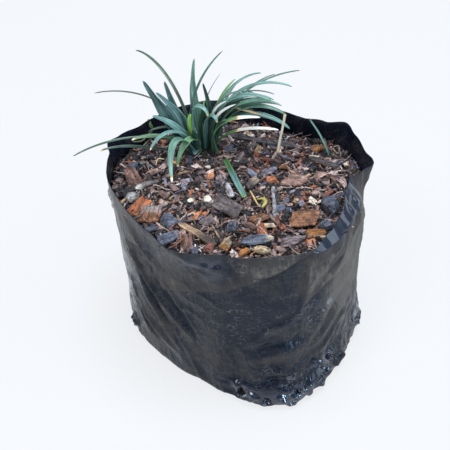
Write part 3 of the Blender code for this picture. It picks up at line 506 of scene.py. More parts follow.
# The leaves: fan, bearing, swing, lean of the root and of the tip, droop, length, width, roll and
# start. Eleven of them follow the course that can be seen, a little off the solid's.
LEAVES = [
    ("left", 130, 0, 12, 108, 1.3, 64, 2.8, -35, 2),
    ("left", 180, 0, 33, 26, 1.0, 44, 3.4, -60, 2),
    ("left", 155, 0, 14, 64, 1.3, 34, 2.8, -50, 2),
    ("left", 146, 0, 24, 23, 1.3, 35, 3.0, -65, 4),
    ("left", 130, 75, -6, 89, 0.41, 60.4, 1.8, -10, 2),
    ("left", 198, 0, 20, 63, 1.3, 31, 3.2, -35, 2),
    ("left", 195, 0, 42, 115, 0.8, 61.5, 2.4, 0, 1),
    ("left", 203, 0, 37, 99, 1.3, 35, 2.4, -20, 2),
    ("left", 203, 0, 67, 102, 4.0, 46, 2.0, -10, 4),
    ("left", 205, 53, -5, 99, 0.6, 44, 2.4, -30, 1),
    ("left", 235, 46, 29, 128, 1.3, 56, 2.8, -20, 2),
    ("left", 243, -2, -10, 177, 1.0, 30, 2.6, -10, 0),
    ("left", 317, 0, -14, 180, 3.5, 35, 3.0, 10, 0),
    ("left", 140, 0, 20, 112, 1.3, 34, 2.4, 0, 2),
    ("middle", 139, -69, 20, 24, 1.3, 42, 2.4, 0, 1),
    ("middle", 37, 0, -16, 66, 1.3, 55, 1.8, 60, -5),
    ("middle", 0, 0, 9, -18, 1.2, 35, 2.4, 80, 2),
    ("middle", 31, 0, -14, 49, 1.3, 40, 0.9, 40, 1),
    ("middle", 310, 0, 4, 193, 5.0, 27, 2.6, 20, 1),
    ("middle", 100, 20, 2, 60, 1.3, 24, 2.4, 20, 3),
    ("middle", 108, 0, 12, 100, 1.3, 26, 2.4, 0, 2),
    ("right", 41, 0, -16, 71, 1.3, 38, 1.8, 30, 2),
    ("right", 31, 0, -14, 106, 1.3, 50, 2.4, 35, 2),
    ("right", 7, 0, -8, 87, 0.8, 61, 2.0, 20, 2),
    ("right", 355, 0, -6, 112, 1.3, 60, 2.2, 20, 2),
    ("right", 330, 0, -5, 95, 1.3, 57, 1.6, 10, 2),
    ("right", 344, 0, -14, 114, 1.3, 51, 3.0, 20, 2),
    ("right", 335, 0, 2, 103, 1.3, 53, 2.6, 20, 2),
    ("right", 340, 0, 4, 117, 1.3, 51, 3.0, 25, 2),
    ("right", 348, 0, -17, 132, 0.8, 50, 3.0, 25, 2),
    ("right", 300, 52, -10, 90, 0.8, 39, 2.4, 20, 1),
    ("right", 331, 0, -55, 80.6, 0.21, 41.6, 2.4, 20, 2),
    ("right", 300, 34, -40, 58, 1.07, 32.8, 1.8, 72, 5),
    ("right", 300, 53, -39.5, 67, 0.91, 32.8, 1.8, 72, 5),
    ("right", 75, 0, 10, 80, 1.3, 24, 2.2, 10, 2),
    ("right", 58, 0, 6, 100, 1.3, 40, 2.4, 10, 2),
]
TAIL_LEAF = 28
TAIL_DROP = (-2.8, 0.0, -21.0)
TAIL_WIDTHS = (1.5, 1.3, 1.5)
TAIL_STATIONS = 24
TAIL_FADING = 0.70
FRONT_LEAF = ((-7, 17), (2, -12), 2.9)
FRONT_LEAF_LIFT = 1.1
SOLID_HALF_THICKNESS = 0.35
# Widths along the loose leaves and the strips: shares of the length, and the width at each.
FRONT_LEAF_PROFILE = ((0, 0.35, 0.9, 1), (0.82, 1.0, 0.95, 0.7))
BACK_LEAF_PROFILE = ((0, 0.6, 0.95, 1), (1.0, 1.0, 0.6, 0.25))
STRIP_PROFILE = ((0, 0.2, 0.8, 1), (0.6, 1.0, 1.0, 0.45))
LOOSE_STATIONS = 30
BACK_LEAF_POINTS = [(44, 22, 70), (42.8, 25, 77), (38.6, 31.5, 84), (33.4, 38.6, 89)]
BACK_LEAF_WIDTH = 1.6
# Where leaves have died back: leaf, and the shares of its length at which it starts and is through.
FADED = {
    4: (0.96, 1.06), 6: (0.97, 1.08), 7: (0.93, 1.00), 8: (0.94, 1.01), 9: (0.95, 1.00),
    10: (0.94, 0.99), 11: (0.92, 1.00), 12: (0.94, 1.01), 18: (0.94, 1.01), 28: (0.96, 1.05),
    30: (0.68, 0.78), 31: (0.42, 0.54), 32: (0.60, 0.68), 33: (0.54, 0.62),
}
# How each leaf looks: its width as a share of its course's, how much paler it is, partly as painted light
# and shade for how the light falls on it, and how young, how blue with the bloom tint that is partly
# painted sheen, and how aged its colour is.
LOOKS = [
    (0.55, -0.1, 0.1, 0.0, 0.7), (1.90, -0.5, 0.0, 0.7, 0.0), (2.00, -0.3, 0.0, 1.0, 0.0),
    (1.45, -0.4, 0.0, 0.7, 0.0), (0.42, 0.0, 0.0, 0.0, 1.0), (1.50, 0.0, 0.0, 1.0, 0.0),
    (0.60, -0.2, 0.1, 0.0, 0.5), (0.95, -0.1, 0.4, 0.0, 0.4), (0.80, -0.4, 0.0, 0.0, 0.5),
    (0.75, 0.3, 0.0, 0.8, 0.0), (1.15, 0.3, 0.1, 0.4, 0.0), (1.40, 0.3, 0.4, 0.2, 0.0),
    (1.70, 0.5, 0.0, 0.6, 0.0), (0.70, 0.0, 0.0, 0.6, 0.0), (1.85, -0.1, 0.1, 0.3, 0.0),
    (0.65, -0.4, 0.0, 0.2, 0.0), (0.95, -0.5, 0.0, 0.2, 0.2), (0.45, 0.0, 0.0, 0.0, 0.6),
    (1.50, 0.4, 0.0, 0.6, 0.0), (1.00, -0.4, 0.2, 0.0, 0.0), (1.00, -0.4, 0.2, 0.0, 0.0),
    (0.80, 0.5, 0.7, 0.3, 0.0), (0.60, -0.1, 0.0, 0.4, 0.0), (0.50, 0.0, 0.0, 0.2, 0.1),
    (0.85, 0.1, 0.0, 0.5, 0.0), (0.45, 0.0, 0.0, 0.2, 0.2), (0.95, 0.0, 0.0, 0.3, 0.0),
    (0.75, -0.1, 0.1, 0.1, 0.0), (0.90, -0.1, 0.1, 0.1, 0.0), (0.95, 0.2, 0.0, 0.4, 0.0),
    (0.95, 0.4, 0.5, 0.0, 0.0), (0.80, 0.3, 0.5, 0.0, 0.0), (0.72, -0.4, 0.2, 0.0, 0.0),
    (0.80, -0.4, 0.2, 0.0, 0.0), (0.60, 0.0, 0.3, 0.0, 0.3), (0.60, -0.3, 0.1, 0.2, 0.0),
]
# Thin leaves and leaf bases that only the scene has: course, then paleness, partly painted light and shade,
# youth, bloom tint, partly painted sheen, and age.
MORE_LEAVES = [
    (("right", 8, 0, -15, 144, 1.5, 48, 1.0, 20, 1), 0.0, 0.0, 0.4, 0.0),
    (("right", 355, 0, -18, 107, 1.0, 47, 1.2, 20, 1), -0.3, 0.0, 0.2, 0.0),
    (("right", 5, 0, -15, 139, 1.7, 48, 0.9, 20, 1), 0.0, 0.0, 0.0, 0.4),
    (("right", 352, 0, -17, 102, 0.8, 48, 1.4, 20, 1), -0.4, 0.0, 0.2, 0.0),
    (("right", 20, 0, 19, 86, 1.9, 48, 0.8, 20, 1), 0.0, 0.0, 0.0, 0.3),
    (("right", 5, -10, -5, 120, 1.4, 48, 1.6, 20, 1), 0.4, 0.0, 0.5, 0.0),
    (("left", 185, 0, -14, 120, 0.8, 31, 1.4, -20, 1), 0.0, 0.1, 0.0, 0.7),
    (("left", 20, 0, -17, 25, 4.8, 22, 3.4, 40, 1), 0.6, 1.0, 0.0, 0.0),
    (("middle", 320, 0, -5, 8, 1.9, 26, 2.2, 20, 1), 0.4, 1.0, 0.0, 0.0),
    (("middle", 300, 0, -16, 41, 1.5, 21, 3.0, 20, 1), -0.9, 0.0, 0.0, 0.1),
    (("middle", 262, 0, -6, 10, 1.0, 22, 3.6, 0, 1), -0.9, 0.2, 0.0, 0.0),
    (("right", 290, 0, -10, 30, 1.2, 20, 3.2, 0, 1), -0.6, 0.0, 0.2, 0.0),
    (("right", 320, 0, -14, 60, 1.2, 22, 2.6, 20, 2), -0.1, 0.0, 0.6, 0.0),
    (("left", 250, 0, 0, 24, 1.2, 15, 3.4, 0, 2), -0.8, 0.0, 0.1, 0.0),
    (("left", 255, 0, 35, 120, 1.0, 7, 3.4, 0, -1), -0.1, 0.0, 0.9, 0.0),
    (("right", 352, -22, 8, 106, 2.0, 37, 1.3, 20, 1), 0.0, 0.0, 0.0, 1.0),
]
NO_TINTS = (0.0, 0.0, 0.0, 0.0)
NOT_FADED = (1.3, 1.6)
TAIL_NARROWED = 0.8
# Small strips on the mix: corners, width, how far gone, and paleness, partly painted light and shade,
# youth, bloom tint, partly painted sheen, and age.
STRIPS = [
    (((-42.7, 42, 80.7), (-43.6, 40.5, 84), (-44.4, 41, 87)), 1.9, 0.0, (1.0, 0.6, 0.6, 0.2)),
    (((-52.5, 31.5, 81.5), (-50.3, 30.4, 81), (-46.6, 30.2, 82), (-44.2, 34, 83), (-42.6, 37.8, 82)),
     0.8, 0.10, (1.0, 0.1, 0.0, 0.9)),
    (((-49, 26.5, 80.6), (-46.5, 25.6, 81.6), (-44.5, 28, 82.4), (-43.4, 31.5, 81.6)),
     0.7, 0.12, (1.0, 0.0, 0.0, 1.0)),
    (((-39.3, 12.6, 80.0), (-38.3, 15.2, 81.8), (-35.5, 16, 81.0)), 0.6, 0.60, NO_TINTS),
    (((-31.8, 15.2, 80.4), (-29.8, 13.2, 80.8)), 1.5, 0.46, NO_TINTS),
    (((4.5, -8.5, 81.0), (6.3, -14, 81.2), (8.1, -19.3, 80.8)), 0.8, 0.52, NO_TINTS),
    (((7.6, -14.4, 80.9), (10.2, -15.2, 81.9), (11.2, -18.0, 82.0), (9.6, -20.6, 80.9)),
     1.9, 0.30, (1.0, 0.2, 0.5, 0.0)),
    (((-1.9, 23.5, 104.2), (2.2, 21.4, 104.6), (9.2, 19.2, 103.6)), 1.2, 0.60, NO_TINTS),
]
STRIP_STATIONS = 18
LEAF_STATIONS = 40
LEAF_THICKNESS = 0.36
LEAF_CHANNEL = 0.16
LEAF_ROOT_DEPTH = 5.0
LINE_FINENESS = 3
# Paleness is partly painted light and shade, and the bloom tint is partly painted sheen.
BLADE_VALUES = ("rising", "faded", "paler", "young", "bloom", "aged")
# The leaf's upper skin and its underside: places across it, how deep and wide the midrib is, how far
# it lies off the middle as a share of the thickness, and whether it shows the pale edge, a painted
# highlight.
LEAF_SKINS = (
    ((-1.0, -0.72, -0.38, 0.0, 0.38, 0.72, 1.0), 0.05, 0.2, 0.4, 1.0),
    ((0.72, 0.30, -0.30, -0.72), 0.10, 0.4, -0.6, 0.0),
)

# Colours, linear: of the wood and stone of the loose pieces as light, dark, and roughness.
WOODS = {
    "rust": ((0.52, 0.18, 0.070), (0.16, 0.042, 0.016), 0.5),
    "rustbrown": ((0.36, 0.165, 0.080), (0.085, 0.034, 0.018), 0.5),
    "ochre": ((0.44, 0.20, 0.055), (0.17, 0.060, 0.018), 0.55),
    "pinkwood": ((0.44, 0.28, 0.22), (0.12, 0.050, 0.034), 0.6),
    "rosewood": ((0.33, 0.12, 0.085), (0.11, 0.032, 0.022), 0.6),
    "brownwood": ((0.26, 0.15, 0.115), (0.065, 0.030, 0.022), 0.55),
    "tanwood": ((0.50, 0.34, 0.20), (0.14, 0.080, 0.048), 0.65),
    "creamwood": ((0.66, 0.52, 0.36), (0.25, 0.15, 0.085), 0.65),
    "greywood": ((0.19, 0.155, 0.145), (0.026, 0.019, 0.018), 0.55),
    "darkwood": ((0.095, 0.085, 0.085), (0.014, 0.011, 0.011), 0.5),
    "slate": ((0.150, 0.165, 0.215), (0.010, 0.010, 0.016), 0.32),
    "lilac": ((0.34, 0.32, 0.39), (0.060, 0.050, 0.060), 0.42),
    "mauve": ((0.31, 0.235, 0.235), (0.045, 0.030, 0.030), 0.45),
    "cream": ((0.72, 0.58, 0.40), (0.34, 0.22, 0.12), 0.6),
    "twig": ((0.46, 0.44, 0.46), (0.17, 0.15, 0.15), 0.6),
    "perlite": ((0.93, 0.87, 0.73), (0.72, 0.62, 0.46), 0.6),
    "palestone": ((0.55, 0.53, 0.50), (0.18, 0.16, 0.14), 0.6),
    "bluestone": ((0.16, 0.19, 0.25), (0.05, 0.05, 0.06), 0.5),
}
# The record's slot for each colour that has none of its own.
SLOT_OF = {"rustbrown": "rust", "rosewood": "rust", "creamwood": "cream", "lilac": "slate",
           "mauve": "pinkwood", "palestone": "perlite", "bluestone": "slate"}
# Colours of the scattered bark, and how many of every hundred chips have them.
BARK_TONES = [
    ((0.005, 0.004, 0.005), 14), ((0.016, 0.012, 0.012), 13), ((0.044, 0.029, 0.026), 12),
    ((0.110, 0.070, 0.060), 12), ((0.225, 0.142, 0.122), 12), ((0.370, 0.250, 0.215), 10),
    ((0.570, 0.430, 0.375), 7), ((0.270, 0.080, 0.040), 4), ((0.460, 0.170, 0.068), 3),
    ((0.440, 0.280, 0.150), 2), ((0.050, 0.052, 0.080), 4), ((0.235, 0.235, 0.300), 4),
    ((0.680, 0.550, 0.420), 2), ((0.900, 0.830, 0.730), 1),
]
# How far a bit's own tone shifts its grain, along each axis.
TONE_SHIFTS = (173.0, 311.0, 97.0)
# Colours of the compost's crumbs, darker than damp compost so that they also paint the shade in the gaps
# between chips; of the compost on the pieces; and of the streaks of a stained end.
COMPOST_AND_SHADE_TONES = [
    (0.0, (0.004, 0.003, 0.003)), (0.35, (0.009, 0.006, 0.006)), (0.6, (0.018, 0.012, 0.010)),
    (0.8, (0.035, 0.022, 0.018)), (0.93, (0.075, 0.048, 0.038)), (0.98, (0.15, 0.11, 0.09)),
]
COMPOST_ON_WOOD = (0.022, 0.014, 0.011)
COMPOST_ON_BARK = (0.020, 0.013, 0.011)
STAIN_SHADE = (0.02, 0.02, 0.02)
# Wood fibre: its stretch along the grain and the share of the fine streaks; and how sharp the edge of
# clinging compost is.
FIBRE_STRETCH = (0.10, 1.0, 1.0)
FINE_FIBRE_SHARE = 0.35
DUST_SHARPNESS = 9.0

# Colours of the film, from clean to dusty, and of the marks on it.
FILM_TONES = [(0.0, (0.0048, 0.0070, 0.0155)), (0.78, (0.049, 0.043, 0.039)), (1.0, (0.120, 0.107, 0.095))]
# Clean film where it is glossy, bluer than the film's own colour: a painted blue sheen of the sky's
# reflection.
CLEAN_FILM_AND_SHEEN_COLOUR = (0.005, 0.012, 0.028)
SMEAR_COLOUR = (0.22, 0.22, 0.24)
RUBBED_COLOUR = (0.30, 0.29, 0.28)
SCRATCH_COLOUR = (0.24, 0.23, 0.23)
SCRATCH_SLANT = -38
SPECK_COLOUR = (0.20, 0.16, 0.12)
WET_SOIL_COLOUR = (0.030, 0.018, 0.012)
FILM_SPECULAR_TINT = (0.80, 0.90, 1.0)
FILM_COAT_TINT = (0.75, 0.88, 1.0)
FILM_COAT_ROUGHNESS = 0.07
FILM_COAT_IOR = 1.9

# Greens of the leaves, each deep and pale: the plain one, then those of the bloom tint that is partly
# painted sheen, youth and age.
LEAF_GREENS = ((0.019, 0.056, 0.044), (0.125, 0.255, 0.195))
LEAF_TINTS = (
    ("bloom", (0.020, 0.060, 0.058), (0.175, 0.315, 0.290)),
    ("young", (0.060, 0.200, 0.020), (0.240, 0.440, 0.090)),
    ("aged", (0.024, 0.030, 0.016), (0.085, 0.098, 0.055)),
)
# The pale edge of a leaf's upper side: a painted highlight where light catches the edge.
EDGE_HIGHLIGHT_COLOUR = (0.26, 0.40, 0.36)
# Colours from the living leaf through the yellow edge to the dead, dry end.
DEAD_LEAF_TONES = [
    (0.0, 0.0), (0.25, (0.30, 0.34, 0.07)), (0.42, (0.50, 0.24, 0.055)), (0.55, (0.66, 0.44, 0.20)),
    (0.72, (0.82, 0.74, 0.58)), (1.0, (0.88, 0.86, 0.80)),
]

# The floor, the sky from the horizon up, and the soft lights: name, place in metres, size in metres,
# watts and colour.
FLOOR_REACH_METRES = 6.0
FLOOR_COLOUR = (0.11, 0.11, 0.109)
FLOOR_GLOW = (0.965, 0.977, 1.0)
FLOOR_GLOW_STRENGTH = 0.785
SKY_COLOURS = [(0.0, (0.84, 0.86, 0.88)), (0.35, (0.76, 0.87, 1.03)), (1.0, (0.58, 0.80, 1.22))]
SKY_STRENGTH = 0.35
SOFT_LIGHTS = [
    ("soft_front", (-0.7, -0.75, 1.25), 0.6, 10, (1.0, 0.97, 0.94)),
    ("soft_above", (0.1, 0.10, 1.45), 0.7, 20, (0.88, 0.95, 1.04)),
    ("soft_low", (0.80, -1.20, 0.30), 0.30, 7, (0.55, 0.78, 1.0)),
    ("soft_right", (1.25, -0.25, 0.95), 1.2, 9, (0.86, 0.93, 1.0)),
    ("soft_left", (-1.35, 0.10, 0.55), 0.35, 3.5, (0.66, 0.84, 1.0)),
]


def ring_values(table, bearings):
    """Values at many bearings, eased between the neighbouring entries round the ring."""
    angles = np.array([entry[0] for entry in table] + [table[0][0] + 360.0])
    values = np.array([entry[1] for entry in table] + [table[0][1]], float)
    at = (np.asarray(bearings, float) - angles[0]) % 360 + angles[0]
    place = np.clip(np.searchsorted(angles, at, side="right") - 1, 0, len(table) - 1)
    share = (at - angles[place]) / (angles[place + 1] - angles[place])
    eased = 0.5 - 0.5 * np.cos(np.pi * share)
    return values[place] + (values[place + 1] - values[place]) * eased


def smooth_step(low, high, values):
    """Eased rise from 0 at the low end to 1 at the high end."""
    share = np.clip((values - low) / (high - low), 0, 1)
    return share * share * (3 - 2 * share)


def turned(bearings, middle):
    """How far round each bearing is from a middle one, from -180 to 180."""
    return (bearings - middle + 180) % 360 - 180


def spread(bearings, heights, middle, height, half_span, half_height):
    """A soft oval patch on the wall, 1 at its middle."""
    across = turned(bearings, middle) / half_span
    up = (heights - height) / half_height
    return np.exp(-(across * across + up * up))


def lattice(x, y, seed):
    """Repeatable values between 0 and 1 at whole-number places."""
    value = np.sin(x * 127.1 + y * 311.7 + seed * 74.7) * 43758.5453
    return value - np.floor(value)


def ripple(x, y, seed, period=0):
    """Smooth irregular heights between -1 and 1, which repeat in x after the period."""
    cell_x = np.floor(x)
    cell_y = np.floor(y)
    ease_x = smooth_step(0, 1, x - cell_x)
    ease_y = smooth_step(0, 1, y - cell_y)
    next_x = cell_x + 1
    if period:
        cell_x = cell_x % period
        next_x = next_x % period
    low, high = [lattice(cell_x, row, seed) * (1 - ease_x) + lattice(next_x, row, seed) * ease_x
                 for row in (cell_y, cell_y + 1)]
    return 2 * (low * (1 - ease_y) + high * ease_y) - 1


def creased(x, y, seed, period=0):
    """Sharp crests over broad hollows, from 0 to 1, as in crumpled film."""
    return 1 - np.abs(ripple(x, y, seed, period))


def between(start, end, share):
    """A point on the straight line from a start to an end."""
    return tuple(first + (last - first) * share for first, last in zip(start, end))


def around(radius, angle, height):
    """Points at a radius and a height round the bag's upright middle line."""
    return np.stack([radius * np.cos(angle), radius * np.sin(angle), height], axis=-1)


def grid_quads(rows, columns):
    """Quads between the rows of a grid of points that closes on itself."""
    row, column = np.meshgrid(np.arange(rows - 1), np.arange(columns), indexing="ij")
    following = (column + 1) % columns
    first = row * columns
    quads = np.stack([first + column, first + following, first + columns + following,
                      first + columns + column], axis=-1)
    return quads.reshape(-1, 4).tolist()


def closed_tube(rings, sides):
    """The faces of a tube of rings, with both of its ends closed."""
    last = (rings - 1) * sides
    return grid_quads(rings, sides) + [list(range(sides))[::-1], list(range(last, last + sides))]


def joined(parts):
    """The points and faces of several surfaces as those of one."""
    faces = []
    start = 0
    for points, skin in parts:
        faces.extend([[corner + start for corner in face] for face in skin])
        start += len(points)
    return np.concatenate([points for points, _ in parts]), faces


def put_in_scene(name, data):
    """An object of the scene, from its data."""
    item = bpy.data.objects.new(name, data)
    bpy.context.scene.collection.objects.link(item)
    return item


def make_piece(name, points, faces, attributes, smooth=True):
    """An object in metres from points in millimetres, with its per-point attributes."""
    mesh = bpy.data.meshes.new(name)
    mesh.from_pydata((np.asarray(points, float) * MM).tolist(), [], faces)
    for label, values in attributes.items():
        values = np.asarray(values, np.float32)
        kind, field = ("FLOAT", "value") if values.ndim == 1 else ("FLOAT_VECTOR", "vector")
        mesh.attributes.new(label, kind, "POINT").data.foreach_set(field, values.ravel())
    mesh.polygons.foreach_set("use_smooth", [smooth] * len(mesh.polygons))
    mesh.update()
    return put_in_scene(name, mesh)


def place_piece(piece, material, slot, *nodes):
    """Give a piece its material, its body and the nodes that it stands for. The slot is not used."""
    piece.data.materials.clear()
    piece.data.materials.append(material)
    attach(piece, BODY)
    if nodes:
        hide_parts(*nodes)


def outward(piece):
    """Turn a closed piece's faces to point out."""
    shape = bmesh.new()
    shape.from_mesh(piece.data)
    bmesh.ops.recalc_face_normals(shape, faces=shape.faces)
    shape.to_mesh(piece.data)
    shape.free()
    return piece


def feed(tree, socket, value):
    """Set a socket to a value, or link it to the output that feeds it."""
    if isinstance(value, bpy.types.NodeSocket):
        tree.links.new(value, socket)
    else:
        socket.default_value = value


def add_node(tree, kind, inputs=None, **settings):
    """A node with its settings and its inputs."""
    node = tree.nodes.new(kind)
    for key, value in settings.items():
        setattr(node, key, value)
    for key, value in (inputs or {}).items():
        feed(tree, node.inputs[key], value)
    return node


def use_group(tree, group, inputs):
    """A node that places a group, with its inputs set."""
    return add_node(tree, "ShaderNodeGroup", inputs, node_tree=group)


def total(tree, first, second, clamp=False):
    """The output of one sum."""
    return add_node(tree, "ShaderNodeMath", {0: first, 1: second}, operation="ADD",
                    use_clamp=clamp).outputs[0]


def less(tree, first, second):
    """The output of one subtraction."""
    return add_node(tree, "ShaderNodeMath", {0: first, 1: second}, operation="SUBTRACT").outputs[0]


def product(tree, first, second, clamp=False):
    """The output of one multiplication."""
    return add_node(tree, "ShaderNodeMath", {0: first, 1: second}, operation="MULTIPLY",
                    use_clamp=clamp).outputs[0]


def swing_of(tree, pattern, amount):
    """A pattern's swing about its middle value, times an amount."""
    return product(tree, less(tree, pattern, 0.5), amount)


def vector_sum(tree, first, second):
    """The output of one sum of two vectors."""
    return add_node(tree, "ShaderNodeVectorMath", {0: first, 1: second}, operation="ADD").outputs[0]


def vector_of(tree, x, y, z):
    """A vector from its three parts."""
    return add_node(tree, "ShaderNodeCombineXYZ", {"X": x, "Y": y, "Z": z}).outputs[0]


def blend_colours(tree, factor, first, second, kind="MIX"):
    """The output of one mix of two colours, each an output or a plain colour."""
    ends = [opaque(end) if isinstance(end, tuple) else end for end in (first, second)]
    node = add_node(tree, "ShaderNodeMix", {0: factor, 6: ends[0], 7: ends[1]}, data_type="RGBA",
                    blend_type=kind)
    return node.outputs[2]


def opaque(colour):
    """A colour with its alpha."""
    return (*colour, 1.0)


def ramp(tree, factor, stops, interpolation="LINEAR"):
    """A colour ramp from a list of places and colours or grey values."""
    node = add_node(tree, "ShaderNodeValToRGB", {0: factor})
    band = node.color_ramp
    band.interpolation = interpolation
    for index, (place, colour) in enumerate(stops):
        entry = band.elements[index] if index < 2 else band.elements.new(place)
        entry.position = place
        entry.color = opaque(colour if isinstance(colour, tuple) else (colour, colour, colour))
    return node.outputs["Color"]


def noise(tree, vector, scale, detail=3.0, roughness=0.55, distortion=0.0):
    """The factor of a noise texture."""
    node = add_node(tree, "ShaderNodeTexNoise", {
        "Vector": vector, "Scale": scale, "Detail": detail, "Roughness": roughness,
        "Distortion": distortion})
    return node.outputs["Fac"]


def stretched(tree, vector, scale):
    """A vector scaled along each axis."""
    return add_node(tree, "ShaderNodeMapping", {"Vector": vector, "Scale": scale}).outputs["Vector"]


def attribute(tree, name, output="Fac"):
    """The output of one of the mesh's own attributes."""
    return add_node(tree, "ShaderNodeAttribute", attribute_name=name).outputs[output]


def new_group(name, inputs, outputs):
    """A shader node group with named sockets; returns its tree and its two end nodes."""
    tree = bpy.data.node_groups.new(name, "ShaderNodeTree")
    for label, kind in inputs:
        tree.interface.new_socket(label, in_out="INPUT", socket_type=kind)
    for label in outputs:
        tree.interface.new_socket(label, in_out="OUTPUT", socket_type="NodeSocketFloat")
    return tree, tree.nodes.new("NodeGroupInput"), tree.nodes.new("NodeGroupOutput")


def new_material(name):
    """An empty Principled material: its tree and its shader."""
    material = bpy.data.materials.new(name)
    material.use_nodes = True
    tree = material.node_tree
    return material, tree, tree.nodes["Principled BSDF"]


def finish_material(tree, shader, colour, roughness, height, depth_metres, strength=1.0, specular=0.5):
    """Feed the shader its colour, roughness and bump."""
    bump = add_node(tree, "ShaderNodeBump", {"Height": height, "Distance": depth_metres,
                                             "Strength": strength})
    for label, value in (("Base Color", colour), ("Roughness", roughness),
                         ("Specular IOR Level", specular), ("Normal", bump.outputs["Normal"])):
        feed(tree, shader.inputs[label], value)


def grain_group():
    """Wood fibre along the grain: streaks and patches, from a vector in millimetres."""
    tree, start, end = new_group("Wood fibre", [("Grain", "NodeSocketVector")], ["Streaks", "Patches"])
    along = stretched(tree, start.outputs["Grain"], FIBRE_STRETCH)
    coarse = noise(tree, along, 0.85, detail=5.0, roughness=0.75, distortion=0.4)
    coarse = product(tree, coarse, 1 - FINE_FIBRE_SHARE)
    fine = product(tree, noise(tree, along, 2.6, detail=3.0, roughness=0.6), FINE_FIBRE_SHARE)
    patches = noise(tree, start.outputs["Grain"], 0.33, detail=3.0, roughness=0.6)
    feed(tree, end.inputs["Streaks"], total(tree, coarse, fine))
    feed(tree, end.inputs["Patches"], patches)
    return tree


def soil_dust_group():
    """Damp compost clinging to a surface: a mask of spots from a noise, which grows with the amount."""
    tree, start, end = new_group(
        "Clinging compost", [("Vector", "NodeSocketVector"), ("Amount", "NodeSocketFloat")], ["Mask"])
    cloud = noise(tree, start.outputs["Vector"], 260.0, detail=4.0, roughness=0.65)
    rise = less(tree, cloud, less(tree, 1.0, start.outputs["Amount"]))
    feed(tree, end.inputs["Mask"], product(tree, rise, DUST_SHARPNESS, clamp=True))
    return tree


def object_coordinates(tree):
    """Coordinates of the piece itself, in metres."""
    return tree.nodes.new("ShaderNodeTexCoord").outputs["Object"]


def dusted(tree, groups, colour, amount, compost):
    """A colour with some damp compost clinging to it."""
    dust = use_group(tree, groups["dust"], {"Vector": object_coordinates(tree), "Amount": amount})
    return blend_colours(tree, dust.outputs["Mask"], colour, compost)


def wood_material(name, groups):
    """Bark or wood of one kind, from its light and dark colours."""
    light, dark, roughness = WOODS[name]
    material, tree, shader = new_material("wood_" + name)
    grain = use_group(tree, groups["grain"], {"Grain": attribute(tree, "grain", "Vector")})
    streaks = ramp(tree, grain.outputs["Streaks"], [(0.38, 0.0), (0.60, 1.0)])
    colour = blend_colours(tree, streaks, dark, light)
    shade = ramp(tree, grain.outputs["Patches"], [(0.34, 0.35), (0.60, 1.4)])
    colour = blend_colours(tree, 1.0, colour, shade, "MULTIPLY")
    stained = blend_colours(tree, streaks, STAIN_SHADE, attribute(tree, "stain", "Color"))
    colour = blend_colours(tree, attribute(tree, "stained"), colour, stained)
    colour = dusted(tree, groups, colour, 0.36, COMPOST_ON_WOOD)
    gloss = total(tree, roughness - 0.15, product(tree, grain.outputs["Patches"], 0.35))
    finish_material(tree, shader, colour, gloss, grain.outputs["Streaks"], 0.0012)
    return material


def bark_material(groups):
    """Scattered bark and crumbs: each bit's own tone picks its colour and shifts its grain."""
    material, tree, shader = new_material("bark_chips")
    tone = attribute(tree, "tone")
    shares = [share for _, share in BARK_TONES]
    stops = [(sum(shares[:order]) / sum(shares), colour) for order, (colour, _) in enumerate(BARK_TONES)]
    base = ramp(tree, tone, stops, "CONSTANT")
    shift = vector_of(tree, *(product(tree, tone, amount) for amount in TONE_SHIFTS))
    place = vector_sum(tree, attribute(tree, "grain", "Vector"), shift)
    grain = use_group(tree, groups["grain"], {"Grain": place})
    shade = ramp(tree, grain.outputs["Streaks"], [(0.38, 0.12), (0.60, 2.1)])
    colour = blend_colours(tree, 1.0, base, shade, "MULTIPLY")
    colour = dusted(tree, groups, colour, 0.38, COMPOST_ON_BARK)
    wetness = add_node(tree, "ShaderNodeTexWhiteNoise", {"W": tone}, noise_dimensions="1D")
    gloss = total(tree, 0.24, product(tree, wetness.outputs["Value"], 0.45))
    finish_material(tree, shader, colour, gloss, grain.outputs["Streaks"], 0.0010, specular=0.7)
    return material


def channel_of(tree, colour, channel):
    """One channel of a colour."""
    return add_node(tree, "ShaderNodeSeparateColor", {"Color": colour}).outputs[channel]


def ground_material():
    """Dark damp compost with fine crumbs and fibres in it, made darker still as painted shade in the gaps
    between chips.
    """
    material, tree, shader = new_material("potting_mix_compost")
    place = object_coordinates(tree)
    crumbs = add_node(tree, "ShaderNodeTexVoronoi", {"Vector": place, "Scale": 900.0})
    tint = ramp(tree, channel_of(tree, crumbs.outputs["Color"], "Red"), COMPOST_AND_SHADE_TONES)
    cloud = ramp(tree, noise(tree, place, 140.0, detail=4.0), [(0.35, 0.45), (0.65, 1.25)])
    colour = blend_colours(tree, 1.0, tint, cloud, "MULTIPLY")
    height = total(tree, product(tree, crumbs.outputs["Distance"], -1.0),
                   noise(tree, place, 600.0, detail=5.0, roughness=0.7))
    finish_material(tree, shader, colour, 0.75, height, 0.0010)
    return material


def film_cover(tree, sheet, fine):
    """How much dry dust lies on the film, from 0 to 1: broad clouds, streaks and fine grain."""
    broad = noise(tree, sheet, 0.055, detail=4.0, roughness=0.6)
    streak = noise(tree, stretched(tree, sheet, (0.42, 0.10, 1.0)), 1.0, detail=4.0, roughness=0.6,
                   distortion=1.2)
    cover = total(tree, attribute(tree, "dust"), swing_of(tree, broad, 1.7))
    cover = total(tree, cover, swing_of(tree, streak, 0.9))
    return total(tree, cover, swing_of(tree, fine, 0.35), clamp=True)


def film_creases(tree, sheet):
    """The lines of the film's hairline creases."""
    bend = add_node(tree, "ShaderNodeTexNoise", {"Vector": sheet, "Scale": 0.35}).outputs["Color"]
    wrinkle = add_node(tree, "ShaderNodeTexVoronoi", {
        "Vector": vector_sum(tree, stretched(tree, sheet, (0.34, 0.55, 1.0)), bend), "Scale": 1.0},
        feature="DISTANCE_TO_EDGE")
    return ramp(tree, wrinkle.outputs["Distance"], [(0.0, 1.0), (0.045, 0.0)])


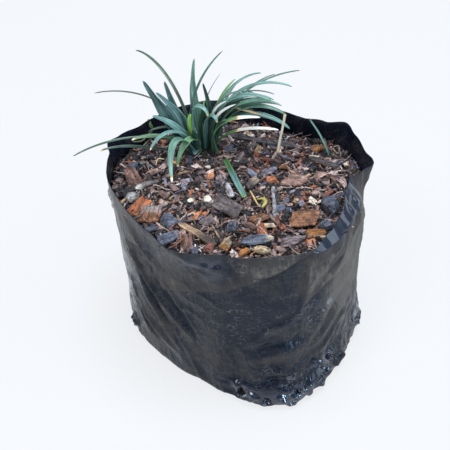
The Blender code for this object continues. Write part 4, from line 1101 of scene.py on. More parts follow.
def film_marks(tree, sheet, creases, colour):
    """The film's colour with its smears, rubbed creases, slanting scratches, specks and wet soil; at the
    bottom corner and two drain holes the pale marks are painted glints.
    """
    scuff = attribute(tree, "scuff")
    patchy = ramp(tree, noise(tree, sheet, 0.22, detail=3.0), [(0.48, 0.0), (0.66, 1.0)])
    rubbed = product(tree, product(tree, creases, patchy), product(tree, scuff, 0.8), clamp=True)
    smears = noise(tree, stretched(tree, sheet, (0.5, 1.3, 1.0)), 0.9, detail=5.0, roughness=0.75)
    smears = ramp(tree, smears, [(0.55, 0.0), (0.75, 1.0)])
    smears = product(tree, smears, product(tree, scuff, 0.45), clamp=True)
    slanted = add_node(tree, "ShaderNodeVectorRotate", {
        "Vector": sheet, "Angle": math.radians(SCRATCH_SLANT)}, rotation_type="Z_AXIS").outputs["Vector"]
    scratches = noise(tree, stretched(tree, slanted, (0.05, 1.5, 1.0)), 1.0, detail=4.0, roughness=0.7)
    scratches = ramp(tree, scratches, [(0.63, 0.0), (0.70, 1.0)])
    scratches = product(tree, scratches, product(tree, patchy, total(tree, 0.25, scuff)), clamp=True)
    specks = add_node(tree, "ShaderNodeTexVoronoi", {"Vector": sheet, "Scale": 0.30})
    chosen = ramp(tree, channel_of(tree, specks.outputs["Color"], "Green"), [(0.72, 0.0), (0.78, 0.6)])
    dots = product(tree, ramp(tree, specks.outputs["Distance"], [(0.05, 1.0), (0.09, 0.0)]), chosen)
    for mask, tone in ((smears, SMEAR_COLOUR), (rubbed, RUBBED_COLOUR), (scratches, SCRATCH_COLOUR),
                       (dots, SPECK_COLOUR), (attribute(tree, "soil"), WET_SOIL_COLOUR)):
        colour = blend_colours(tree, mask, colour, tone)
    return colour


def film_material():
    """Black nursery film: blue-black and glossy, with dry dust, scuffs and hairline creases, and a painted
    blue sheen where it is glossy.
    """
    material, tree, shader = new_material("black_film")
    sheet = attribute(tree, "sheet", "Vector")
    gloss_and_sheen = attribute(tree, "gloss")
    fine = noise(tree, sheet, 1.3, detail=4.0, roughness=0.7)
    creases = film_creases(tree, sheet)
    cover = film_cover(tree, sheet, fine)
    colour = ramp(tree, cover, FILM_TONES)
    # Glossy places are cleaned of dust and turned bluer: the blue is a painted sheen.
    colour = blend_colours(tree, product(tree, gloss_and_sheen, 0.8), colour, CLEAN_FILM_AND_SHEEN_COLOUR)
    colour = film_marks(tree, sheet, creases, colour)
    roughness = total(tree, 0.20, product(tree, cover, 0.42))
    roughness = total(tree, roughness, product(tree, attribute(tree, "soil"), 0.4), clamp=True)
    roughness = product(tree, roughness, less(tree, 1.0, product(tree, gloss_and_sheen, 0.45)))
    crumple = noise(tree, stretched(tree, sheet, (0.30, 0.16, 1.0)), 1.0, detail=4.0, roughness=0.5,
                    distortion=0.8)
    height = total(tree, crumple, product(tree, fine, 0.07))
    height = total(tree, height, product(tree, creases, 0.042))
    finish_material(tree, shader, colour, roughness, height, 0.0016, strength=0.4, specular=0.24)
    for label, value in (("Specular Tint", opaque(FILM_SPECULAR_TINT)),
                         ("Coat Weight", product(tree, gloss_and_sheen, 0.85)),
                         ("Coat Tint", opaque(FILM_COAT_TINT)),
                         ("Coat Roughness", FILM_COAT_ROUGHNESS), ("Coat IOR", FILM_COAT_IOR)):
        feed(tree, shader.inputs[label], value)
    return material


def leaf_green(tree, blade, veins):
    """The living leaf's green: darker and lighter down the blade, with a bloom tint that is partly painted
    sheen, youth, age, and pale edges that are painted highlights.
    """
    patches = noise(tree, stretched(tree, blade, (0.5, 0.13, 0.0)), 1.0, detail=3.0)
    rise = ramp(tree, attribute(tree, "rising"), [(0.10, 0.0), (0.60, 0.68)])
    # Paleness shifts each leaf lighter or darker, partly as painted light and shade for how the light falls
    # on it.
    light = total(tree, total(tree, rise, attribute(tree, "paler")), swing_of(tree, patches, 1.6),
                  clamp=True)
    green = blend_colours(tree, light, *LEAF_GREENS)
    for label, deep, pale in LEAF_TINTS:
        green = blend_colours(tree, attribute(tree, label), green, blend_colours(tree, light, deep, pale))
    green = blend_colours(tree, 1.0, green, ramp(tree, veins, [(0.36, 0.40), (0.64, 1.50)]), "MULTIPLY")
    # The pale edge of the upper side is a painted highlight where light catches it.
    margin = add_node(tree, "ShaderNodeSeparateXYZ", {"Vector": blade}).outputs["Z"]
    return blend_colours(tree, ramp(tree, margin, [(0.78, 0.0), (1.0, 0.45)]), green, EDGE_HIGHLIGHT_COLOUR)


def leaf_material():
    """Blue-green leaf: long veins, pale edges painted as highlights, a bloom tint that is partly painted
    sheen, young growth, and ends that have died back.
    """
    material, tree, shader = new_material("mondo_leaf")
    blade = attribute(tree, "blade", "Vector")
    veins = noise(tree, stretched(tree, blade, (1.7, 0.02, 0.0)), 1.0, detail=3.0, roughness=0.7)
    mottle = noise(tree, stretched(tree, blade, (1.2, 0.35, 0.0)), 1.0, detail=3.0)
    mottled = total(tree, attribute(tree, "faded"), swing_of(tree, mottle, 0.35), clamp=True)
    dead = ramp(tree, mottled, [(0.16, 0.0), (0.28, 1.0)])
    colour = blend_colours(tree, dead, leaf_green(tree, blade, veins), ramp(tree, mottled, DEAD_LEAF_TONES))
    gloss = total(tree, 0.36, product(tree, mottled, 0.35))
    finish_material(tree, shader, colour, gloss, veins, 0.00018, strength=0.8, specular=0.55)
    return material


def wall_radii(bearings, heights):
    """Radius of the wall, straight between the heights it is set at and smoothed up the wall."""
    base, shoulder, rim, top = [ring_values(table, bearings) for table in (
        BASE_RADII, SHOULDER_RADII, RIM_RADII, RIM_HEIGHTS)]
    low, high = [base + share * (shoulder - base) + BELLY for share in WALL_SHARES]
    total_radius = 0.0
    for shift in WALL_SMOOTHING:
        z = np.clip(heights + shift, FILLET, top)
        steps = [z < LOW_HEIGHT, z < HIGH_HEIGHT, z < SHOULDER_HEIGHT]
        spans = [base + (low - base) * (z - FILLET) / (LOW_HEIGHT - FILLET),
                 low + (high - low) * (z - LOW_HEIGHT) / (HIGH_HEIGHT - LOW_HEIGHT),
                 high + (shoulder - high) * (z - HIGH_HEIGHT) / (SHOULDER_HEIGHT - HIGH_HEIGHT)]
        upper = shoulder + (rim - shoulder) * (z - SHOULDER_HEIGHT) / (top - SHOULDER_HEIGHT)
        total_radius = total_radius + np.select(steps, spans, upper)
    inward = 1 - np.sqrt(1 - np.clip((FILLET - heights) / FILLET, 0, 1) ** 2)
    return total_radius / len(WALL_SMOOTHING) - FILLET * inward


def nearest_on_line(corners, across, heights):
    """For each point of the wall: its distance to a broken line, its side and its share along it."""
    best = np.full_like(heights, FAR_AWAY)
    side = np.zeros_like(heights)
    travel = np.zeros_like(heights)
    for index, (start, end) in enumerate(zip(corners, corners[1:])):
        step = ((end[0] - start[0]) * DEGREE_MM, end[1] - start[1])
        from_x = across - (start[0] - corners[0][0]) * DEGREE_MM
        from_y = heights - start[1]
        share = np.clip((from_x * step[0] + from_y * step[1]) / (step[0] ** 2 + step[1] ** 2), 0, 1)
        away = np.hypot(from_x - share * step[0], from_y - share * step[1])
        nearer = away < best
        best = np.where(nearer, away, best)
        side = np.where(nearer, step[0] * from_y - step[1] * from_x, side)
        travel = np.where(nearer, (index + share) / (len(corners) - 1), travel)
    return best, side, travel


def fold_relief(bearings, heights):
    """How far the listed folds push the film out or in."""
    relief = np.zeros_like(heights)
    for corners, rise, left, right in FOLDS:
        across = turned(bearings, corners[0][0]) * DEGREE_MM
        best, side, travel = nearest_on_line(corners, across, heights)
        crest = np.clip(1 - best / np.where(side > 0, left, right), 0, 1) ** 1.15
        relief += rise * crest * np.clip(np.sin(np.pi * (0.08 + 0.84 * travel)), 0, 1) ** 0.6
    return relief


def lap_masks(bearings, heights):
    """Where the film is folded double, the cuff under the front rim and the lap below it."""
    masks = []
    for edge, _, fade, _ in LAPS:
        first = edge[0][0]
        corners = [turned(bearing, first) for bearing, _ in edge]
        at = turned(bearings, first)
        over = heights - np.interp(at, corners, [height for _, height in edge])
        inside = smooth_step(corners[0], corners[0] + LAP_EASE, at) * (
            1 - smooth_step(corners[-1] - LAP_EASE, corners[-1], at))
        masks.append(inside * smooth_step(-0.25, 0.3, over) * np.exp(-np.clip(over, 0, None) / fade))
    return masks


def crumple_relief(bearings, heights):
    """Fine folds all over, which run down and out from the two bottom corners of the bag."""
    relief = np.zeros_like(heights)
    for corner, seed_shift in CORNERS:
        along = turned(bearings, corner)
        near = 1 - smooth_step(*CORNER_REACH, np.abs(along))
        away = along * DEGREE_MM
        rightward = smooth_step(-CORNER_BLEND, CORNER_BLEND, along)
        for (slope, unit, seed), chosen in zip(FINE_SLOPES, (1 - rightward, rightward)):
            across = (heights + slope * away) / unit
            other = (away - slope * heights) / unit
            bend = 1.4 * ripple(across / 13, other / 19, seed + seed_shift)
            broad = creased(across / 9 + bend, other / 34, seed + seed_shift + 1) ** 2
            narrow = creased(across / 4.2 + bend * 2, other / 20, seed + seed_shift + 2) ** 3
            crease = BROAD_CREASE * (broad - 0.45) + NARROW_CREASE * (narrow - 0.3)
            relief += near * chosen * crease
    relief += WAVE_RISE * ripple(bearings / 360 * WAVES_ROUND, heights / 9, 21, WAVES_ROUND)
    return relief * (1 - PANEL_CALM * spread(bearings, heights, *FLAT_PANEL))


def crumpled_places(bearings, heights):
    """Small sharp facets at the corners, the drain holes and where the film is screwed up."""
    relief = np.zeros_like(heights)
    turns = bearings / 360 * FACETS_ROUND
    warped = turns + 0.6 * ripple(turns, heights / 4, 31, FACETS_ROUND)
    facets = creased(warped, heights / 4.4, 32, FACETS_ROUND)
    small = creased(turns * 2, heights / 2.0, 33, FACETS_ROUND * 2)
    for middle, height, radius, depth in CRUMPLES:
        reach = spread(bearings, heights, middle, height, radius / DEGREE_MM, radius)
        relief += reach * depth * (FACET_RISE * (facets - 0.55) + FINE_FACET_RISE * (small - 0.5))
    return relief


def roll_mask(bearings):
    """How far round the rim is rolled in."""
    at = bearings % 360
    first, last = ROLL_BEND[0][0], ROLL_BEND[-1][0]
    return smooth_step(first, first + ROLL_EASE, at) * (1 - smooth_step(last - ROLL_EASE, last, at))


def roll_relief(bearings, heights, top):
    """The shoulder from which the rolled rim slopes in, to the rim."""
    bend = np.interp(bearings % 360, *zip(*ROLL_BEND))
    above = 1 - np.clip((heights - bend) / (top - bend), 0, 1)
    below = np.exp(-(np.clip(bend - heights, 0, None) / ROLL_FADE) ** 2)
    return ROLL_RISE * roll_mask(bearings) * np.where(heights > bend, above, below)


def roll_gloss_and_sheen(bearings, heights):
    """The clean, glossy film of the rolled rim above its bend, which also gets the painted blue sheen."""
    bend = np.interp(bearings % 360, *zip(*ROLL_BEND))
    return ROLL_GLOSS_AND_SHEEN * roll_mask(bearings) * smooth_step(-0.6, 0.6, heights - bend)


def drain_places(bearings, heights):
    """Raised torn lips and dark pits of the drain holes, and where they are."""
    relief = np.zeros_like(heights)
    pits = np.zeros_like(heights)
    for order, middle in enumerate(DRAIN_BEARINGS):
        across = turned(bearings, middle) * DEGREE_MM
        up = heights - DRAIN_HEIGHT
        wobble = 1 + DRAIN_WOBBLE * np.sin(3 * np.arctan2(up, across) + order)
        away = np.hypot(across, up) * wobble / (DRAIN_DIAMETER / 2)
        pit = 1 - smooth_step(*DRAIN_PIT_EDGE, away)
        lip = np.exp(-((away - DRAIN_LIP_PLACE) / DRAIN_LIP_WIDTH) ** 2)
        swell = np.exp(-(np.hypot(across, up - 1.5) / 4.2) ** 2)
        relief += DRAIN_LIP * lip + DRAIN_SWELL * swell - DRAIN_DEPTH * pit
        pits = np.maximum(pits, pit)
    return relief, pits


def film_shape(bearings, heights):
    """Radius of the film with all its folds, and the depth of the drain pits."""
    top = ring_values(RIM_HEIGHTS, bearings)
    folds = fold_relief(bearings, heights) + crumple_relief(bearings, heights)
    folds += crumpled_places(bearings, heights)
    pits_relief, pits = drain_places(bearings, heights)
    calm_top = 1 - RIM_CALM * smooth_step(RIM_CALM_DEPTH, 0, top - heights)
    calm_foot = smooth_step(*FOOT_EASE, heights)
    relief = (folds * calm_top + pits_relief) * calm_foot
    for (_, step, _, _), mask in zip(LAPS, lap_masks(bearings, heights)):
        relief += step * mask
    relief = np.clip(relief + RELIEF_SHIFT, *RELIEF_LIMITS)
    return wall_radii(bearings, heights) + relief + roll_relief(bearings, heights, top), pits


def places_value(places, bearings, heights):
    """The sum of the soft patches in a list."""
    value = np.zeros_like(heights)
    for middle, height, half_span, half_height, amount in places:
        value += amount * spread(bearings, heights, middle, height, half_span, half_height)
    return value


def film_points(columns, top):
    """The film's points by rows, from the middle of its base up, over its rim and down inside; the
    height of each row up the sheet; and the drain pits."""
    angle = np.radians(columns)
    heights = np.linspace(0, 1, FILM_ROWS)[:, None] * top
    radius, pits = film_shape(np.broadcast_to(columns, heights.shape), heights)
    wall = around(radius, angle, heights)
    base = [wall[0] * (share, share, 0.0) for share in BASE_SHARES]
    lip = wall[-1] - around(FILM_SHOWN / 2, angle, np.full_like(columns, -FILM_SHOWN / 3))
    inner = np.linspace(1, 0, INNER_ROWS)[:, None] * (top - INNER_FOOT) + INNER_FOOT
    inner_radius = film_shape(np.broadcast_to(columns, inner.shape), inner)[0] - FILM_SHOWN
    rows = np.concatenate([base, wall, [lip], around(inner_radius, angle, inner)])
    below = np.zeros((len(BASE_SHARES), FILM_COLUMNS))
    sheet_heights = np.concatenate([below, heights, [top], 2 * top - inner])
    over = np.zeros((1 + INNER_ROWS, FILM_COLUMNS))
    return rows, sheet_heights, np.concatenate([below, pits, over])


def film_dust(bearings, heights, gloss):
    """How much dust lies on the film: none on its inside, less where it is glossy, and more on fold crests,
    which also paints them lighter and the hollows darker.
    """
    dust = DUST_EVERYWHERE + places_value(DUST_PLACES, bearings, heights)
    dust += FOLD_DUST_AND_SHADE * fold_relief(bearings, heights)
    for (_, _, _, cover), mask in zip(LAPS, lap_masks(bearings, heights)):
        dust += cover * mask
    dust -= GLOSS_CLEANS * gloss
    dust[-INNER_ROWS:] = 0.0
    return dust


def make_bag():
    """The film bag in one skin: its base, its folded wall, its rim and the inside down into the mix."""
    columns = np.arange(FILM_COLUMNS) * 360 / FILM_COLUMNS
    top = ring_values(RIM_HEIGHTS, columns)
    wave = ripple(columns / 360 * WAVES_ROUND, np.zeros_like(columns), 41, WAVES_ROUND)
    top = top - RIM_DROP + RIM_WAVE * wave
    points, heights, pits = film_points(columns, top)
    bearings = np.broadcast_to(columns, heights.shape)
    faces = grid_quads(len(points), FILM_COLUMNS)
    faces.append(list(range(FILM_COLUMNS))[::-1])
    # The gloss mask also paints the blue sheen into the film's colour.
    gloss = places_value(GLOSS_AND_SHEEN_PLACES, bearings, heights) + roll_gloss_and_sheen(bearings, heights)
    gloss = np.clip(gloss, 0, 1)
    scuff = np.clip(SCUFF_EVERYWHERE + places_value(SCUFF_AND_GLINT_PLACES, bearings, heights), 0, 1)
    sheet = np.stack([bearings * DEGREE_MM, heights, np.zeros_like(heights)], axis=-1)
    bag = make_piece("film_bag", points.reshape(-1, 3), faces, {
        "dust": film_dust(bearings, heights, gloss).ravel(), "scuff": scuff.ravel(),
        "soil": pits.ravel(), "gloss": gloss.ravel(), "sheet": sheet.reshape(-1, 3)})
    place_piece(bag, film_material(), "film", "bag")


def mix_level(x, y):
    """Height of the potting mix without its chips, highest at the front and at the crown."""
    distance = np.hypot(x - CROWN_CENTRE[0], y - CROWN_CENTRE[1])
    return MIX_LEVEL - MIX_BACKWARD_FALL * y + MOUND_RISE * np.exp(-((distance / MOUND_WIDTH) ** 2))


def mix_relief(x, y):
    """Low humps and hollows of the mix."""
    broad = 0.7 * np.sin(x / 6.1 + 0.6) * np.cos(y / 7.3 - 0.4)
    fine = 0.35 * np.sin(x / 2.9 + y / 4.3) * np.cos(y / 3.1 - x / 5.7)
    return broad + fine


def ground_height(x, y):
    """Height of the compost between the chips."""
    lumps = sum(rise * ripple(x / size, y / size, seed) for rise, size, seed in GROUND_LUMPS)
    return mix_level(x, y) + mix_relief(x, y) + lumps - COMPOST_DROP


def piece_circles():
    """Circles in plan that the scattered bark stays out of: centre and radius."""
    circles = [(*CROWN_CENTRE, CROWN_ROOM), *CLEAR_PLACES]
    circles += [(*place, SLAB_ROOM * (length + width)) for _, place, length, width, *_ in SLABS]
    circles += [(*place, half_sizes[1] + LUMP_ROOM) for _, place, half_sizes, *_ in LUMPS]
    circles += [(*place, SMALL_ROOM * (length + width)) for _, place, length, width, *_ in SMALL_PIECES]
    for _, start, end, *_ in STICKS:
        circles += [(*between(start, end, share), STICK_ROOM) for share in STICK_SHARES]
    for start, end in (TWIG[:2], FRONT_LEAF[:2]):
        circles += [(*between(start, end, share), TWIG_ROOM) for share in TWIG_SHARES]
    return circles


def make_ground():
    """The compost: a rough top over a plain body that fills the bag."""
    columns = np.arange(GROUND_COLUMNS) * 360 / GROUND_COLUMNS
    angle = np.radians(columns)
    rows = []
    for height in GROUND_BODY_HEIGHTS:
        level = np.full_like(columns, height)
        rows.append(around(wall_radii(columns, level) - GROUND_BODY_GAP, angle, level))
    edge = np.minimum(*[film_shape(columns, np.full_like(columns, height))[0]
                        for height in (MIX_LEVEL, MIX_LEVEL - 3)]) - GROUND_GAP
    for share in np.linspace(1, 0.004, GROUND_RINGS):
        ring = around(edge * share, angle, np.zeros_like(columns))
        ring[:, 2] = ground_height(ring[:, 0], ring[:, 1])
        rows.append(ring)
    points = np.concatenate(rows)
    x, y, z = points.T
    room = np.min([np.hypot(x - place_x, y - place_y) - radius
                   for place_x, place_y, radius in piece_circles()], axis=0)
    limit = np.interp(np.degrees(np.arctan2(y, x)) % 360, np.append(columns, 360),
                      np.append(edge, edge[0]))
    inside = limit - np.hypot(x, y)
    ground = make_piece("potting_mix_compost", points, closed_tube(len(rows), GROUND_COLUMNS), {
        label: ((z > GROUND_TOP_FROM) & (room > gap) & (inside > margin)).astype(float)
        for label, (gap, margin) in ROOMS.items()})
    place_piece(ground, ground_material(), "mix", "potting_mix")
    return ground


def slab_faces(rows, columns):
    """The faces of a closed slab, from a grid of points on its top and the same grid below."""
    stops = columns + 1
    offset = (rows + 1) * stops
    faces = []
    for row in range(rows):
        for first in range(row * stops, row * stops + columns):
            faces.append((first, first + 1, first + stops + 1, first + stops))
            faces.append((offset + first, offset + first + stops, offset + first + stops + 1,
                          offset + first + 1))
    rim = list(range(stops))
    rim += [row * stops + columns for row in range(1, rows + 1)]
    rim += [rows * stops + stop for stop in range(columns - 1, -1, -1)]
    rim += [row * stops for row in range(rows - 1, 0, -1)]
    for first, following in zip(rim, rim[1:] + rim[:1]):
        faces.append((first, offset + first, offset + following, following))
    return faces


def wood_chip(rng, rows, columns, fray, torn=0.12, narrowed=0.0, rounded=0.0, skew=0.0, curl=0.0):
    """A splinter of bark in a unit box, its grain along X: points and faces of a closed solid."""
    left, right = [], []
    reach_left, reach_right = rng.uniform(0, fray), rng.uniform(0, fray)
    for _ in range(rows + 1):
        reach_left = min(max(reach_left + rng.uniform(-torn, torn), 0), fray)
        reach_right = min(max(reach_right + rng.uniform(-torn, torn), 0), fray)
        left.append(-0.5 + reach_left)
        right.append(0.5 - reach_right)
    shares = [stop / columns for stop in range(columns + 1)]
    side_bend = [rng.uniform(-0.03, 0.03) for _ in shares]
    pinch = [rng.uniform(0.90, 1.0) * max(0.12, 1 - narrowed * along - rounded * (2 * along - 1) ** 2)
             for along in shares]
    ridge = [rng.uniform(-1, 1) for _ in left]
    layer_line = rng.uniform(0.25, 0.75)
    layer_drop = rng.choice([0.0, 0.25, 0.4])
    points = []
    for side in (1, -1):
        for row, (row_left, row_right) in enumerate(zip(left, right)):
            across = row / rows
            for stop, along in enumerate(shares):
                x = row_left + (row_right - row_left) * along + skew * (across - 0.5)
                y = (across - 0.5) * pinch[stop] + side_bend[stop]
                border = 6 * min(across, 1 - across, along, 1 - along)
                bevel = min(1.0, 0.35 + 0.65 * border)
                z = 0.5 * side * bevel
                if side > 0:
                    z += 0.5 * CHIP_RIDGES * ridge[row] * bevel + 0.08 * rng.uniform(-1, 1)
                    z -= layer_drop * (across > layer_line)
                points.append((x, y, z + curl * (2 * across - 1) ** 2))
    return np.array(points), slab_faces(rows, columns)


def stone(rng, level, planes, roundness=0.25):
    """A broken lump in a unit box: flat faces cut from a ball."""
    shape = bmesh.new()
    bmesh.ops.create_icosphere(shape, subdivisions=level, radius=1.0)
    cuts = []
    for _ in range(planes):
        normal = Vector([rng.gauss(0, 1) for _ in range(3)]).normalized()
        cuts.append((normal, rng.uniform(0.50, 0.92)))
    points = []
    for vertex in shape.verts:
        direction = vertex.co.normalized()
        reach = min([1.15] + [distance / normal.dot(direction) for normal, distance in cuts
                              if normal.dot(direction) > 0.05])
        reach = reach * (1 - roundness) + roundness
        points.append(tuple(direction * reach * 0.5 * rng.uniform(0.97, 1.03)))
    faces = [[vertex.index for vertex in face.verts] for face in shape.faces]
    shape.free()
    return np.array(points), faces


def fibre_strand(rng):
    """A thin curved strand in a unit box, three-sided."""
    points = []
    sway = [rng.uniform(-0.22, 0.22) for _ in range(4)]
    for station in range(STRAND_STATIONS):
        share = station / (STRAND_STATIONS - 1)
        y = sway[0] * math.sin(3 * share) + sway[1] * math.sin(7 * share + 1)
        z = 0.4 * sway[2] * math.sin(4 * share) + 0.15 * sway[3]
        thick = 0.5 * (1 - 0.5 * share)
        for corner in range(3):
            angle = 2 * math.pi * corner / 3
            points.append((share - 0.5, y + 0.05 * thick * math.cos(angle),
                           z + 0.07 * thick * math.sin(angle)))
    return np.array(points), closed_tube(STRAND_STATIONS, 3)


def shape_set(name, shapes):
    """A collection of small shapes to scatter, each carrying its own coordinates."""
    group = bpy.data.collections.new(name)
    bpy.context.scene.collection.children.link(group)
    for order, (points, faces) in enumerate(shapes):
        mesh = bpy.data.meshes.new(f"{name}_{order}")
        mesh.from_pydata(points.tolist(), [], faces)
        layer = mesh.attributes.new("grain", "FLOAT_VECTOR", "POINT")
        layer.data.foreach_set("vector", (points * 5.0).astype(np.float32).ravel())
        group.objects.link(bpy.data.objects.new(mesh.name, mesh))
    return group


def random_vector(tree, low, high, seed):
    """A random vector for each bit, between two vectors."""
    return add_node(tree, "FunctionNodeRandomValue", {0: low, 1: high, "Seed": seed},
                    data_type="FLOAT_VECTOR").outputs[0]


def random_number(tree, low, high, seed):
    """A random number for each bit, between two numbers."""
    return add_node(tree, "FunctionNodeRandomValue", {2: low, 3: high, "Seed": seed},
                    data_type="FLOAT").outputs[1]


def scatter_tree():
    """The Geometry Nodes tree that strews shapes over the compost."""
    tree = bpy.data.node_groups.new("Strewn bark", "GeometryNodeTree")
    inputs = {"Ground": "Geometry", "Shapes": "Collection", "Finish": "Material", **LAYER_VALUES}
    for label, kind in inputs.items():
        tree.interface.new_socket(label, in_out="INPUT", socket_type="NodeSocket" + kind)
    tree.interface.new_socket("Bark", in_out="OUTPUT", socket_type="NodeSocketGeometry")
    start = tree.nodes.new("NodeGroupInput").outputs
    end = tree.nodes.new("NodeGroupOutput")
    seeds = [start["Seed"]] + [total(tree, start["Seed"], float(step)) for step in (1, 2, 3)]
    room = add_node(tree, "GeometryNodeInputNamedAttribute", {"Name": start["Room"]},
                    data_type="FLOAT").outputs["Attribute"]
    points = add_node(tree, "GeometryNodeDistributePointsOnFaces", {
        "Mesh": start["Ground"], "Distance Min": start["Spacing"], "Density Max": start["Density"],
        "Density Factor": room, "Seed": seeds[0]}, distribute_method="POISSON")
    back_tilt = product(tree, start["Tilt"], -1.0)
    lean = random_vector(tree, vector_of(tree, back_tilt, back_tilt, 0.0),
                         vector_of(tree, start["Tilt"], start["Tilt"], 2 * math.pi), seeds[0])
    turn = add_node(tree, "FunctionNodeEulerToRotation", {"Euler": lean}).outputs[0]
    rotation = add_node(tree, "FunctionNodeRotateRotation", {
        "Rotation": points.outputs["Rotation"], "Rotate By": turn}, rotation_space="LOCAL").outputs[0]
    size = random_vector(tree, start["Smallest"], start["Largest"], seeds[1])
    shapes = add_node(tree, "GeometryNodeCollectionInfo", {
        "Collection": start["Shapes"], "Separate Children": True, "Reset Children": True})
    bits = add_node(tree, "GeometryNodeInstanceOnPoints", {
        "Points": points.outputs["Points"], "Instance": shapes.outputs[0], "Pick Instance": True,
        "Rotation": rotation, "Scale": size})
    depth = random_number(tree, start["Sunk"], start["Proud"], seeds[2])
    moved = add_node(tree, "GeometryNodeTranslateInstances", {
        "Instances": bits.outputs[0], "Local Space": False,
        "Translation": vector_of(tree, 0.0, 0.0, depth)})
    marked = add_node(tree, "GeometryNodeStoreNamedAttribute", {
        "Geometry": moved.outputs[0], "Name": "tone", "Value": random_number(tree, 0.0, 1.0, seeds[3])},
        data_type="FLOAT", domain="INSTANCE")
    real = add_node(tree, "GeometryNodeRealizeInstances", {"Geometry": marked.outputs[0]})
    done = add_node(tree, "GeometryNodeSetMaterial", {
        "Geometry": real.outputs[0], "Material": start["Finish"]})
    feed(tree, end.inputs["Bark"], done.outputs[0])
    return tree


def strew(name, tree, ground, shapes, material, values):
    """Run the tree over the compost and keep what it makes as a plain mesh."""
    carrier = put_in_scene(name, ground.data.copy())
    modifier = carrier.modifiers.new("strewn", "NODES")
    modifier.node_group = tree
    sockets = {item.name: item.identifier for item in tree.interface.items_tree
               if item.item_type == "SOCKET" and item.in_out == "INPUT"}
    for label, value in {"Shapes": shapes, "Finish": material, **values}.items():
        modifier[sockets[label]] = value
    graph = bpy.context.evaluated_depsgraph_get()
    mesh = bpy.data.meshes.new_from_object(carrier.evaluated_get(graph), preserve_all_data_layers=True,
                                           depsgraph=graph)
    carrier.modifiers.clear()
    carrier.data = mesh
    mesh.name = name
    for item in list(shapes.objects):
        bpy.data.objects.remove(item, do_unlink=True)
    bpy.data.collections.remove(shapes)
    return carrier


def strew_bark(ground, groups):
    """Chips, slivers, crumbs and root fibres over the compost."""
    tree = scatter_tree()
    rng = random.Random(STREWN_SEED)
    bark = bark_material(groups)
    chips = [wood_chip(rng, 3, 4, 0.22, narrowed=rng.uniform(0, 0.6), rounded=rng.uniform(0, 0.4),
                       skew=rng.uniform(-0.35, 0.35), curl=rng.uniform(-0.1, 0.4)) for _ in range(18)]
    chips += [stone(rng, 1, 7) for _ in range(2)]
    crumbs = [stone(rng, 1, 6, 0.1) for _ in range(6)]
    slivers = [wood_chip(rng, 1, 3, 0.3, narrowed=rng.uniform(0, 0.7)) for _ in range(8)]
    strands = [fibre_strand(rng) for _ in range(6)]
    for shapes, (name, *values) in zip((chips, slivers, crumbs, strands), LAYERS):
        carrier = strew(name, tree, ground, shape_set(name + "_shapes", shapes), bark,
                        dict(zip(LAYER_VALUES, values)))
        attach(carrier, BODY)


def lay_down(points, place, sizes, yaw, pitch, roll, lift):
    """Size a unit shape and lay it on the mix as its solid lies: its points, and its own grain."""
    turn = (Matrix.Rotation(math.radians(yaw), 3, "Z") @ Matrix.Rotation(math.radians(-pitch), 3, "Y")
            @ Matrix.Rotation(math.radians(roll), 3, "X"))
    middle = np.array([*place, mix_level(*place) + mix_relief(*place) + lift])
    sized = points * np.array(sizes)
    return sized @ np.array(turn).T + middle, sized


def stain_of(name, along):
    """The attributes of a piece whose one end has another colour."""
    if name not in STAINS:
        return {}
    begin, through, colour = STAINS[name]
    return {"stained": smooth_step(begin, through, along),
            "stain": np.tile(np.array(colour), (len(along), 1))}


def make_slabs(woods):
    """The large bark chips, each with its own torn outline and layers."""
    for order, (name, *lie, colour) in enumerate(SLABS):
        shape = CHIP_SHAPES.get(name, PLAIN_CHIP)
        points, faces = wood_chip(random.Random(SLAB_SEED + order), *SLAB_GRID, *shape)
        place, length, width, thickness, *turns, lift = SEEN_LIES.get(name, lie)
        placed, grain = lay_down(points, place, (length, width, thickness * 0.9), *turns, lift)
        piece = make_piece("bark_" + name, placed, faces, {
            "grain": grain + order * 13.0, **stain_of(name, points[:, 0] + 0.5)}, smooth=False)
        place_piece(piece, woods[SEEN_COLOURS.get(name, colour)], colour, name)


def wood_stick(rng, start, end, width_start, width_end, lift):
    """A tapering splinter along a line on the mix: its surface, faces and grain coordinates."""
    start, end = np.array(start, float), np.array(end, float)
    run = end - start
    length = float(np.hypot(*run))
    along = run / length
    across = np.array([-along[1], along[0]])
    last = STICK_STATIONS - 1
    ribs = [rng.uniform(0.78, 1.06) for _ in range(STICK_SIDES)]
    torn = {0: [-0.6 * rng.uniform(-0.5, 1.0) for _ in range(STICK_SIDES)],
            last: [0.6 * rng.uniform(-0.5, 1.0) for _ in range(STICK_SIDES)]}
    bend = rng.uniform(-0.5, 0.5)
    points, grain = [], []
    for station in range(STICK_STATIONS):
        share = station / last
        radius = (width_start + (width_end - width_start) * share) / 2
        ends = min(1.0, 0.45 + 6 * min(share, 1 - share))
        middle = start + run * share
        level = float(mix_level(*middle)) + lift
        for corner in range(STICK_SIDES):
            angle = 2 * math.pi * corner / STICK_SIDES
            reach = radius * ends * (ribs[corner] + 0.05 * math.sin(9 * share + 3 * corner))
            slide = torn[station][corner] if station in torn else 0
            offset = reach * math.cos(angle) + bend * math.sin(math.pi * share)
            spot = middle + along * slide + across * offset
            points.append((*spot, level + reach * STICK_FLATNESS * math.sin(angle)))
            grain.append((share * length, reach * math.cos(angle), reach * math.sin(angle)))
    return np.array(points), closed_tube(STICK_STATIONS, STICK_SIDES), np.array(grain)


def make_sticks(woods):
    """The larger sticks and splinters."""
    for order, (name, *line, colour) in enumerate(STICKS):
        points, faces, grain = wood_stick(random.Random(STICK_SEED + order), *line)
        along = grain[:, 0] / grain[:, 0].max()
        piece = outward(make_piece("wood_" + name, points, faces, {
            "grain": grain + order * 7.0, **stain_of(name, along)}, smooth=False))
        place_piece(piece, woods[SEEN_COLOURS.get(name, colour)], colour, name)


